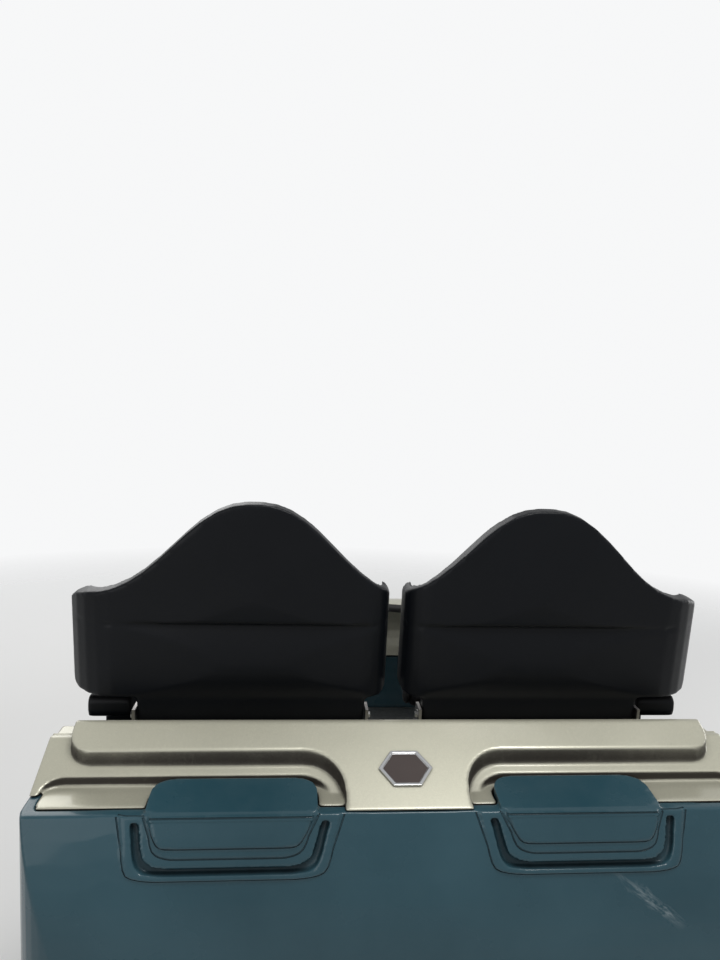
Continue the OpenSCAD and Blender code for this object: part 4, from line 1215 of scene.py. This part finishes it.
@dataclass
class Bodywork:
    """The moulded outer shells with their screws and edge beads."""

    shop: Workshop
    marks: Marks
    cells: dict[str, tuple[float, int, float]] = field(default_factory=lambda: {
        "rear_deck": (3.4 * MM, 3, 0.6), "rear_fascia": (3.2 * MM, 3, 0.30),
        "nose_hood": (6.5 * MM, 8, 1.0), "nose_fascia": (6.5 * MM, 5, 1.0),
        "side_panel_left": (6.5 * MM, 4, 1.0), "side_panel_right": (6.5 * MM, 4, 1.0),
    })
    bead_radius: float = 14.0 * MM
    bead_sunk: float = 11.0 * MM
    hood_arch: float = 0.095
    sill_z: float = 0.745
    screw: float = 6.5 * MM
    screw_z: float = 0.462
    screw_pitch: float = 0.130
    skirt_y: float = -0.7765
    score: float = 1.8 * MM
    core: tuple[float, float] = (1 * MM, 13 * MM)
    foot: tuple[float, float] = (2 * MM, -2 * MM)
    frame: tuple[float, float] = (47 * MM, 0.0)

    def build(self) -> None:
        """Moulds the shells, then runs the bead round the opening and sets the screws."""
        tail = TailShape(self.marks.tail_y)
        shapes = {"rear_fascia": tail.moved}
        shells = {node: self.shop.moulded(node, cell, rounds, keep=keep, shape=shapes.get(node))
                  for node, (cell, rounds, keep) in self.cells.items()}
        self._tail_lines(shells["rear_fascia"], tail)
        self._edge_bead()
        self._screws()
        self._badge()

    def _tail_lines(self, skin: bpy.types.Object, tail: TailShape) -> None:
        """Scores the seam across each moulding and the edges of its core, foot and frame.

        Args:
            skin: the tail's moulded skin.
            tail: its lines.
        """
        for side in Side:
            lines = [traced(skin, tail.seam(side))]
            for out, rise in (self.core, self.foot, self.frame):
                lines.append(traced(skin, tail.outline(side, out, rise, 6 * MM)))
            scored(skin, lines, self.score)

    def _edge_bead(self) -> None:
        """A rubber bead along both sides' upper edges and across the hood's open edge."""
        m = self.marks
        out = m.half - self.bead_sunk
        side = [(out, y, z - 3 * MM) for y, z in self._side_edge()]
        hood_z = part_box("nose_hood")[1][2]
        across = []
        steps = 24
        for k in range(1, steps):
            x = out * (1.0 - 2.0 * k / steps)
            across.append((x, m.hood_y + 2 * MM, hood_z - self.hood_arch * (x / m.half) ** 2 - 12 * MM))
        other = [(-x, y, z) for x, y, z in reversed(side)]
        piece = bead("opening_bead", side + across + other, self.bead_radius)
        self.shop.add(piece, "car", RUBBER)

    def _side_edge(self) -> list[tuple[float, float]]:
        """Runs along a side's upper edge, from the deck to the hood.

        Returns:
            Its points as y and z.
        """
        m = self.marks
        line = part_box("side_panel_right")[1][2]
        hood_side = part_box("nose_hood")[1][2] - self.hood_arch
        steps = 22
        points = [(m.seat_y + 5 * MM, line)]
        for (y0, z0), (y1, z1) in (
            ((m.seat_y + 0.040, line), (m.seat_y + 0.370, self.sill_z)),
            ((m.seat_y + 0.640, self.sill_z), (m.hood_y + 1 * MM, hood_side)),
        ):
            for k in range(steps + 1):
                t = k / steps
                points.append((y0 + (y1 - y0) * t, z0 + (z1 - z0) * t * t * (3.0 - 2.0 * t)))
        return points

    def _screws(self) -> None:
        """Dome screws along the skirts, and at each upright seam."""
        m = self.marks
        screws = Fasteners(self.shop, "body_screws", "car", PIN)
        seam_half = 22 * MM
        tail_seam = m.seat_y - 40 * MM
        for side in Side:
            x = side.value * m.half
            places = [(x, -0.640 + k * self.screw_pitch, self.screw_z) for k in range(10)]
            places += [(x, m.hood_y + d, z) for d in (-seam_half, seam_half) for z in (0.58, 0.68)]
            places += [(x, tail_seam + d, z) for d in (-seam_half, seam_half) for z in (0.60, 0.75, 0.90)]
            screws.put(Kind.DOME, self.screw, (side.value, 0.0, 0.0), places)
        row = [(k * self.screw_pitch, self.skirt_y, self.screw_z) for k in range(-4, 5)]
        screws.put(Kind.DOME, self.screw, (0.0, -1.0, -0.15), row)
        screws.finish_set()

    def _badge(self) -> None:
        """The bare six-sided plate: a polished rim round a darker lens."""
        piece = self.shop.crisp("rear_badge", 1.2 * MM, 3)
        piece.data.materials.append(self.shop.palette.materials[LENS.slot])
        low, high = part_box("rear_badge")
        middle = (low[0] + high[0]) / 2.0
        reach = (high[0] - low[0]) / 2.0
        least_area = 0.0015
        for face in piece.data.polygons:
            upward = face.normal.z > 0.8 and abs(face.center.x - middle) < reach * 0.1
            if upward and face.area > least_area:
                face.material_index = 1


@dataclass
class Seats:
    """Two seat backs with their pads, cushions, arm rests and brackets."""

    shop: Workshop
    marks: Marks
    shell_cell: float = 4.2 * MM
    pad_cell: float = 9.0 * MM
    cap: float = 11.0 * MM
    shrink: float = 5.0 * MM
    welt: float = 4.0 * MM
    seam_half: float = 5.0 * MM

    def build(self) -> None:
        """Moulds the hard parts, stuffs the soft ones and bolts the brackets down."""
        for side in Side:
            self.shop.moulded("seat_shell_" + side.word, self.shell_cell, 4)
        self.shop.moulded("arm_rests", 5.0 * MM, 8)
        self.shop.moulded("seat_riser", 8.0 * MM, 6)
        self.shop.crisp("seat_brackets", 1.0 * MM)
        self._pair("back_pad", self._back_seams, (0.0, 1.0, 0.1), 0.75)
        self._pair("seat_cushion", self._cushion_seams, (0.0, 0.0, 1.0), 0.7)
        self._bracket_bolts()

    def _bracket_bolts(self) -> None:
        """Bolts through the brackets' feet, and through their cheeks into the shells."""
        m = self.marks
        foot_x, cheek_x = 0.254, 0.2393
        bolts = Fasteners(self.shop, "bracket_bolts", "car", PIN)
        for side in Side:
            for s in (-1.0, 1.0):
                x = side.value * m.seat_x
                bolts.put(Kind.HEX, 9 * MM, (0.0, 0.0, 1.0),
                          [(x + s * foot_x, m.seat_y + d, m.riser_z + 6 * MM) for d in (0.030, 0.068)])
                bolts.put(Kind.HEX, 7 * MM, (s, 0.0, 0.0),
                          [(x + s * cheek_x, m.seat_y + ahead, m.deck_z - down)
                           for ahead, down in ((0.018, 0.030), (0.040, 0.075), (0.045, 0.200))])
        bolts.finish_set()

    def _back_seams(self, place: Vector) -> bool:
        """Where the back pads are sewn down: two upright lines, on the front only.

        Args:
            place: a point of the pad.

        Returns:
            Whether it is sewn down.
        """
        line = abs(abs(place.x - self.marks.seat_x) - 0.105) < self.seam_half
        return line and place.y > self.marks.seat_y + 0.05

    def _cushion_seams(self, place: Vector) -> bool:
        """Where the cushions are sewn down: two lines fore and aft and one across, on the top only.

        Args:
            place: a point of the cushion.

        Returns:
            Whether it is sewn down.
        """
        m = self.marks
        line_x = 0.120
        lines = abs(abs(place.x - m.seat_x) - line_x) < self.seam_half
        across = abs(place.y - m.seat_y - 0.400) < self.seam_half and abs(place.x - m.seat_x) < line_x
        return (lines or across) and place.z > m.cushion_z - 0.040

    def _pair(self, stem: str, seams: Callable[[Vector], bool], front: Point, fill: float) -> None:
        """Stuffs the right-hand pad and mirrors it for the left.

        Args:
            stem: the nodes' name without its side.
            seams: tells whether a point is sewn down.
            front: the way the pad's show side faces.
            fill: how full it is, from 0 to 1.
        """
        right = stuffed(self.shop, stem + "_right", self.pad_cell, self.shrink, self.cap, seams)
        piping = welted(self.shop, stem + "_right", right, front, self.welt)
        for side in Side:
            node = f"{stem}_{side.word}"
            self.shop.pad(right, node, side, fill)
            self.shop.add(twin(piping, "piping_" + node, side.matrix), "car", RUBBER)
        bpy.data.objects.remove(right)
        bpy.data.objects.remove(piping)


def stuffed(shop: Workshop, node: str, cell: float, shrink: float, cap: float,
            seams: Callable[[Vector], bool]) -> bpy.types.Object:
    """Blows a pad up with cloth under pressure, held down along its seams.

    Args:
        shop: the workshop.
        node: the CAD node.
        cell: the cloth's cell size in metres.
        shrink: how far the start is drawn in, in metres.
        cap: the most that a point may move, in metres.
        seams: tells whether a point is sewn down.

    Returns:
        The stuffed piece, not handed over yet.
    """
    piece = shop.copy(node)
    modify(piece, "REMESH", mode="VOXEL", voxel_size=cell, use_smooth_shade=True)
    modify(piece, "DISPLACE", strength=-shrink, mid_level=0.0)
    inflate(piece, cap, seams)
    modify(piece, "SMOOTH", factor=0.5, iterations=2)
    modify(piece, "SUBSURF", levels=1, render_levels=1)
    return piece


def inflate(piece: bpy.types.Object, cap: float, seams: Callable[[Vector], bool]) -> None:
    """Runs the cloth under pressure for twenty frames and keeps where its points went.

    Args:
        piece: the mesh object.
        cap: the most that a point may move, in metres.
        seams: tells whether a point is sewn down.
    """
    frames = 20
    group = piece.vertex_groups.new(name="sewn")
    for vertex in piece.data.vertices:
        if seams(vertex.co):
            group.add([vertex.index], 1.0, "REPLACE")
    cloth = piece.modifiers.new("cloth", "CLOTH")
    cloth.settings.quality = 5
    cloth.settings.mass = 0.3
    cloth.settings.tension_stiffness = 14.0
    cloth.settings.compression_stiffness = 14.0
    cloth.settings.bending_stiffness = 0.6
    cloth.settings.use_pressure = True
    cloth.settings.uniform_pressure_force = 4.0
    cloth.settings.vertex_group_mass = group.name
    cloth.settings.effector_weights.gravity = 0.0
    cloth.point_cache.frame_start = 1
    cloth.point_cache.frame_end = frames
    for step in range(1, frames + 1):
        bpy.context.scene.frame_set(step)
    graph = bpy.context.evaluated_depsgraph_get()
    blown = [v.co.copy() for v in piece.evaluated_get(graph).data.vertices]
    piece.modifiers.remove(cloth)
    for vertex, place in zip(piece.data.vertices, blown):
        move = place - vertex.co
        if move.length > cap:
            move *= cap / move.length
        vertex.co += move
    bpy.context.scene.frame_set(1)


def longest_run(mesh: bpy.types.Mesh) -> set[int]:
    """The selected edges that hang together in the largest run.

    Args:
        mesh: the mesh, with edges selected.

    Returns:
        The indices of the run's edges.
    """
    reach: dict[int, list[int]] = {}
    for edge in mesh.edges:
        if edge.select:
            for index in edge.vertices:
                reach.setdefault(index, []).append(edge.index)
    best: set[int] = set()
    seen: set[int] = set()
    for start in reach:
        run: set[int] = set()
        queue = [start] if start not in seen else []
        while queue:
            index = queue.pop()
            seen.add(index)
            for number in reach[index]:
                run.add(number)
                queue.extend(v for v in mesh.edges[number].vertices if v not in seen)
        if sum(_length(mesh, n) for n in run) > sum(_length(mesh, n) for n in best):
            best = run
    return best


def _length(mesh: bpy.types.Mesh, number: int) -> float:
    """The length of one edge in metres."""
    a, b = mesh.edges[number].vertices
    return (mesh.vertices[a].co - mesh.vertices[b].co).length


def select_rim(mesh: bpy.types.Mesh, show: Vector) -> None:
    """Selects the longest run of edges between the show side and the sides.

    Args:
        mesh: the mesh, with nothing selected.
        show: the way the show side faces.
    """
    normals: dict[tuple[int, int], list[Vector]] = {}
    for face in mesh.polygons:
        for key in face.edge_keys:
            normals.setdefault(key, []).append(face.normal.copy())
    for edge in mesh.edges:
        along = sorted(n.dot(show) for n in normals.get(tuple(sorted(edge.vertices)), []))
        edge.select = len(along) == 2 and along[0] < 0.45 and along[1] > 0.55
    run = longest_run(mesh)
    for vertex in mesh.vertices:
        vertex.select = False
    for edge in mesh.edges:
        edge.select = edge.index in run
        if edge.select:
            for index in edge.vertices:
                mesh.vertices[index].select = True


def welted(shop: Workshop, node: str, pad: bpy.types.Object, front: Point,
           radius: float) -> bpy.types.Object:
    """Piping along the outline of a pad's show side, laid on the stuffed pad.

    Args:
        shop: the workshop.
        node: the CAD node.
        pad: the stuffed pad.
        front: the way the show side faces.
        radius: the piping's radius in metres.

    Returns:
        The piping as a mesh, not handed over yet.
    """
    piece = shop.copy(node)
    edit_all(piece)
    bpy.ops.mesh.dissolve_limited(angle_limit=math.radians(0.6))
    bpy.ops.mesh.select_mode(type="EDGE")
    bpy.ops.mesh.select_all(action="DESELECT")
    leave_edit()
    mesh = piece.data
    select_rim(mesh, Vector(front).normalized())
    bpy.ops.object.mode_set(mode="EDIT")
    bpy.ops.mesh.select_all(action="INVERT")
    bpy.ops.mesh.delete(type="EDGE_FACE")
    bpy.ops.mesh.select_all(action="SELECT")
    bpy.ops.mesh.subdivide(number_cuts=3)
    bpy.ops.mesh.vertices_smooth(factor=0.5, repeat=6)
    leave_edit()
    for vertex in mesh.vertices:
        _, place, normal, _ = pad.closest_point_on_mesh(vertex.co)
        vertex.co = place + normal * (0.3 * radius)
    pick(piece)
    bpy.ops.object.convert(target="CURVE")
    line = bpy.context.object
    line.data.bevel_depth = radius
    line.data.bevel_resolution = 2
    bpy.ops.object.convert(target="MESH")
    done = bpy.context.object
    smooth_by(done, 60.0)
    return done


@dataclass
class Restraints:
    """The two lap bars with their foams, grips and pivots."""

    shop: Workshop
    marks: Marks
    bar_y: float = -0.115
    bar_z: float = 1.020
    cap_x: float = 0.198
    grip_y: float = 0.0725
    grip_z: float = 1.095
    grip_length: float = 0.088
    pivot_y: float = 0.220
    pivot_z: float = 0.600
    foam_cell: float = 5.5 * MM

    def build(self) -> None:
        """Dresses the bars and their foams, and sets caps, grips, nuts and base bolts."""
        self.shop.crisp("lap_bar_brackets", 1.2 * MM)
        foam = stuffed(self.shop, "lap_foam_right", self.foam_cell, 2.5 * MM, 4.0 * MM, self._seam)
        for side in Side:
            self.shop.pad(foam, "lap_foam_" + side.word, side, 0.95)
            self.shop.crisp("lap_bar_" + side.word, 1.0 * MM)
            self._trim(side)
        bpy.data.objects.remove(foam)
        self._floor_bolts()

    def _seam(self, place: Vector) -> bool:
        """The foam's moulding line, underneath."""
        return abs(place.y - self.bar_y) < 4 * MM and place.z < self.bar_z

    def _trim(self, side: Side) -> None:
        """Puts end caps, a ribbed grip and its collars on one bar.

        Args:
            side: which bar.
        """
        x = side.value * self.marks.seat_x
        body = "restraint_" + side.word
        cap = turned("cap", [(36 * MM, 0.0), (36 * MM, 5 * MM), (30 * MM, 10 * MM), (15 * MM, 13 * MM),
                             (10 * MM, 13 * MM)], 28)
        grip = self._grip()
        collar = turned("collar", [(23 * MM, -9 * MM), (24.5 * MM, -7 * MM), (24.5 * MM, 7 * MM),
                                   (23 * MM, 9 * MM)], 32)
        rubbers = [twin(cap, "cap", facing((x + s * self.cap_x, self.bar_y, self.bar_z), (s, 0.0, 0.0)))
                   for s in (-1.0, 1.0)]
        rubbers.append(twin(grip, "grip", facing((x - self.grip_length / 2.0, self.grip_y, self.grip_z),
                                                 (1.0, 0.0, 0.0))))
        collars = [twin(collar, "collar", facing((x, self.grip_y + d, self.bar_z), (0.0, 1.0, 0.0)))
                   for d in (-0.040, 0.040)]
        for model in (cap, grip, collar):
            bpy.data.objects.remove(model)
        self.shop.add(join(rubbers, "lap_bar_rubber_" + side.word), body, RUBBER)
        self.shop.add(join(collars, "lap_bar_collars_" + side.word), body, PIN)

    def _grip(self) -> bpy.types.Object:
        """Turns the ribbed grip.

        Returns:
            The grip, on the Z axis.
        """
        length = self.grip_length
        pitch = 7.5 * MM
        ribs = [(15.5 * MM, 0.0)]
        for k in range(11):
            z = 2 * MM + k * pitch
            ribs += [(16.5 * MM, z), (16.5 * MM, z + 4.5 * MM), (14.6 * MM, z + 5.5 * MM)]
        ribs += [(14.6 * MM, length - 4 * MM), (15.5 * MM, length - 2 * MM), (15.5 * MM, length)]
        return turned("grip", ribs, 24)

    def _floor_bolts(self) -> None:
        """Nuts on the pivot pins and bolts through the brackets' base plates."""
        m = self.marks
        bolts = Fasteners(self.shop, "lap_bracket_bolts", "car", PIN)
        for side in Side:
            x = side.value * m.seat_x
            base = m.floor_z + 8 * MM
            bolts.put(Kind.HEX, 8 * MM, (0.0, 0.0, 1.0),
                      [(x + a * 0.072, self.pivot_y + b * 0.054, base) for a in (-1, 1) for b in (-1, 1)])
            for s in (-1.0, 1.0):
                bolts.put(Kind.HEX, 20 * MM, (s, 0.0, 0.0), [(x + s * 0.060, self.pivot_y, self.pivot_z)])
        bolts.finish_set()


@dataclass
class RunningGear:
    """Axle beams, wheel carriers, pins and the twelve wheels."""

    shop: Workshop
    marks: Marks
    tread: float = 18.0 * MM

    def build(self) -> None:
        """Dresses each axle with its wheels and bolts."""
        m = self.marks
        for end in End:
            y = m.front_axle if end is End.FRONT else m.rear_axle
            self.shop.crisp("axle_beam_" + end.word, 3.0 * MM, 3)
            self.shop.crisp("wheel_carriers_" + end.word, 2.0 * MM)
            self.shop.crisp("wheel_pins_" + end.word, 1.5 * MM)
            self._bolts(end, y)
            for side in Side:
                rail_x, side_x = side.value * m.rail_x, side.value * m.side_x
                for kind, centre, axis, radius, width in (
                    ("road", (rail_x, y, m.road_z), (1.0, 0.0, 0.0), 0.125, 0.070),
                    ("upstop", (rail_x, y, m.upstop_z), (1.0, 0.0, 0.0), 0.075, 0.060),
                    ("side", (side_x, y + m.side_ahead, m.rail_z), (0.0, 0.0, 1.0), 0.075, 0.050),
                ):
                    node = f"{kind}_wheel_{end.word}_{side.word}"
                    self._wheel(node, "turning_" + node, centre, axis, radius, width)

    def _wheel(self, node: str, body: str, centre: Point, axis: Point, radius: float, width: float) -> None:
        """Splits a wheel into tread and hub, and adds its bolts and bearing covers.

        Args:
            node: the CAD node.
            body: the wheel's body.
            centre: the wheel's middle.
            axis: the way its axle runs.
            radius: its outer radius.
            width: its width.
        """
        piece = self.shop.crisp(node, 1.2 * MM)
        piece.data.materials.append(self.shop.palette.materials[HUB.slot])
        middle, line = Vector(centre), Vector(axis)
        rim = radius - self.tread
        for face in piece.data.polygons:
            away = face.center - middle
            away -= line * away.dot(line)
            face.material_index = 0 if away.length > rim + 0.3 * MM else 1
        bolts = Fasteners(self.shop, "bolts_" + node, body, PIN)
        hub, web = 33 * MM, width * 0.14
        ring = (rim - 10 * MM + hub) / 2.0
        head = 5.5 * MM if radius < 0.1 else 7.0 * MM
        across = line.orthogonal().normalized()
        for s in (-1.0, 1.0):
            spots = []
            for k in range(6):
                turn = Matrix.Rotation(math.radians(30 + 60 * k), 3, line)
                spots.append(tuple(middle + line * (s * web) + turn @ across * ring))
            bolts.put(Kind.HEX, head, tuple(line * s), spots)
        cover = turned("cover", [(29 * MM, 0.0), (29 * MM, 1.2 * MM), (27 * MM, 2.2 * MM),
                                 (19 * MM, 2.2 * MM), (18 * MM, 0.6 * MM)], 32)
        for s in (-1.0, 1.0):
            end_face = tuple(middle + line * (s * width / 2.0))
            bolts.heads.append(twin(cover, "cover", facing(end_face, tuple(line * s))))
        bpy.data.objects.remove(cover)
        bolts.finish_set()

    def _bolts(self, end: End, y: float) -> None:
        """Puts nuts on the wheel pins, and bolts on the beam's ends and the turntable.

        Args:
            end: which axle.
            y: where it lies.
        """
        m = self.marks
        bolts = Fasteners(self.shop, "axle_bolts_" + end.word, "bogie_" + end.word, PIN)
        for side in Side:
            s = side.value
            for z in (m.road_z, m.upstop_z):
                bolts.put(Kind.HEX, 23 * MM, (s, 0.0, 0.0), [(s * (m.outer_x + 8 * MM), y, z)])
            for a in (1.0, -1.0):
                nut = (s * m.side_x, y + m.side_ahead, m.rail_z + a * 0.045)
                bolts.put(Kind.HEX, 21 * MM, (0.0, 0.0, a), [nut])
            bolts.put(Kind.HEX, 7 * MM, (s, 0.0, 0.0),
                      [(s * m.inner_x, y + a * 0.030, m.axle_z + b) for a in (-1, 1) for b in (-0.028, 0.0)])
            bolts.put(Kind.HEX, 9 * MM, (s, 0.0, 0.0),
                      [(s * m.outer_x, y - 0.135, z) for z in (0.30, 0.35)])
        bolts.put(Kind.HEX, 9 * MM, (0.0, 0.0, -1.0),
                  [(a * 0.062, y + b * 0.060, m.axle_z + 0.039) for a in (-1, 1) for b in (-1, 1)])
        bolts.finish_set()


@dataclass
class Underframe:
    """Beams, cross members, couplings, dogs and the brake fin."""

    shop: Workshop
    marks: Marks

    def build(self) -> None:
        """Dresses every welded and forged part and bolts the fin down."""
        for node, edge in (
            ("chassis_beams", 4.0 * MM), ("cross_members", 3.0 * MM), ("front_coupler", 2.5 * MM),
            ("drawbar_hanger", 2.0 * MM), ("drawbar", 3.0 * MM), ("dog_hangers", 1.5 * MM),
            ("chain_dog", 2.0 * MM), ("rollback_dog", 2.0 * MM), ("brake_fin", 1.0 * MM),
            ("floor_pan", 2.0 * MM), ("step_plates", 0.8 * MM),
        ):
            self.shop.crisp(node, edge)
        m = self.marks
        bolts = Fasteners(self.shop, "underframe_bolts", "car", PIN)
        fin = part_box("brake_fin")
        tabs = (fin[0][1] + 0.130, fin[1][1] - 0.130)
        bolts.put(Kind.HEX, 8 * MM, (0.0, 0.0, -1.0),
                  [(a * 0.027, y + b * 0.018, m.beam_z) for y in tabs for a in (-1, 1) for b in (-1, 1)])
        for y in (m.rear_axle, m.front_axle):
            bolts.put(Kind.HEX, 30 * MM, (0.0, 0.0, -1.0), [(0.0, y, m.axle_z - 0.058)])
        bolts.put(Kind.HEX, 20 * MM, (0.0, 0.0, -1.0), [(0.0, m.tail_y + 0.110, m.coupling_z - 0.030)])
        bolts.finish_set()


# Studio


@dataclass
class Studio:
    """A plain pale floor, soft lamps and the camera at the photograph's angle."""

    seat_plane: float
    eye: Point = (-0.215, -1.425, 1.760)
    yaw: float = 5.1
    pitch: float = 5.8
    roll: float = 2.1
    lens: float = 27.0
    floor_size: float = 40.0
    floor_colour: Colour = rgb(0.80, 0.80, 0.79)

    def build(self) -> None:
        """Makes the camera, the floor, the lamps and the world."""
        self._camera()
        self._floor()
        self._lamps()
        self._world()
        bpy.context.scene.view_settings.view_transform = "Standard"

    def _camera(self) -> None:
        """Places the camera where the photograph was taken, behind the seats."""
        yaw, pitch, roll = (math.radians(v) for v in (self.yaw, self.pitch, self.roll))
        ahead = Vector((math.sin(yaw) * math.cos(pitch), math.cos(yaw) * math.cos(pitch), -math.sin(pitch)))
        level = Vector((math.cos(yaw), -math.sin(yaw), 0.0))
        upright = level.cross(ahead)
        right = level * math.cos(roll) + upright * math.sin(roll)
        up = upright * math.cos(roll) - level * math.sin(roll)
        data = bpy.data.cameras.new("photo_camera")
        data.lens = self.lens
        data.sensor_width = 36.0
        data.clip_start = 0.05
        camera = bpy.data.objects.new("photo_camera", data)
        bpy.context.scene.collection.objects.link(camera)
        turn = Matrix((right, up, -ahead)).transposed()
        stand = Vector(self.eye) + Vector((0.0, self.seat_plane, 0.0))
        camera.matrix_world = Matrix.Translation(stand) @ turn.to_4x4()
        bpy.context.scene.camera = camera

    def _floor(self) -> None:
        """Lays a pale floor that fades into the background."""
        pick()
        bpy.ops.mesh.primitive_plane_add(size=self.floor_size)
        floor = bpy.context.object
        floor.name = "studio_floor"
        material = bpy.data.materials.new("studio_floor")
        material.use_nodes = True
        net = Network(material.node_tree)
        place = net.add("TexCoord").outputs["Object"]
        distance = net.add("VectorMath", p_operation="LENGTH", i0=place).outputs["Value"]
        grain = net.add("TexNoise", Vector=place, Scale=30.0, Detail=4.0).outputs["Fac"]
        tone = net.mix(net.maths("MULTIPLY", grain, 0.05), self.floor_colour, rgb(0.70, 0.70, 0.69))
        solid = net.add("BsdfPrincipled", Base_Color=tone, Roughness=0.7)
        clear = net.add("BsdfTransparent")
        fade = net.ramp(distance, 2.5, 7.0)
        both = net.add("MixShader", i0=fade, i1=solid.outputs[0], i2=clear.outputs[0])
        net.add("OutputMaterial", Surface=both.outputs[0])
        floor.data.materials.append(material)

    def _lamps(self) -> None:
        """Hangs four soft lamps: a key above the tail, and fills at the nose and both sides."""
        for name, place, aim, size, power in (
            ("key", (0.8, -1.6, 4.6), (0.0, -0.5, 1.0), 1.6, 78.0),
            ("tail_fill", (-2.6, -3.8, 2.1), (0.0, -0.5, 0.9), 3.4, 34.0),
            ("nose_key", (-1.9, 3.8, 3.8), (0.0, 0.4, 0.8), 4.0, 86.0),
            ("side_fill", (4.2, 1.0, 1.7), (0.0, 0.2, 0.6), 2.4, 38.0),
        ):
            data = bpy.data.lights.new(name, "AREA")
            data.shape = "DISK"
            data.size = size
            data.energy = power
            lamp = bpy.data.objects.new(name, data)
            bpy.context.scene.collection.objects.link(lamp)
            turn = (Vector(aim) - Vector(place)).to_track_quat("-Z", "Y")
            lamp.matrix_world = Matrix.Translation(place) @ turn.to_matrix().to_4x4()

    def _world(self) -> None:
        """A white background for the eye and for gloss, and a softer light for the object."""
        world = bpy.data.worlds.new("studio")
        bpy.context.scene.world = world
        world.use_nodes = True
        net = Network(world.node_tree)
        path = net.add("LightPath")
        seen = net.maths("ADD", path.outputs["Is Camera Ray"], path.outputs["Is Transmission Ray"], True)
        mirror = net.maths("MULTIPLY", path.outputs["Is Glossy Ray"], 0.6)
        level = net.maths("MAXIMUM", net.maths("MAXIMUM", seen, mirror), 0.38)
        background = net.add("Background", Color=rgb(0.93, 0.935, 0.94), Strength=level)
        net.add("OutputWorld", Surface=background.outputs[0])


def main() -> None:
    """Builds every sub-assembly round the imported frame."""
    logging.basicConfig(level=logging.INFO, format="%(message)s")
    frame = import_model()
    palette = Palette(frame)
    shop = Workshop(frame, palette)
    marks = Marks.read()
    Studio(marks.seat_y).build()
    Bodywork(shop, marks).build()
    Seats(shop, marks).build()
    Restraints(shop, marks).build()
    RunningGear(shop, marks).build()
    Underframe(shop, marks).build()
    for node in sorted(set(shop.body_of) - shop.done):
        shop.crisp(node)


if __name__ == "__main__":
    main()
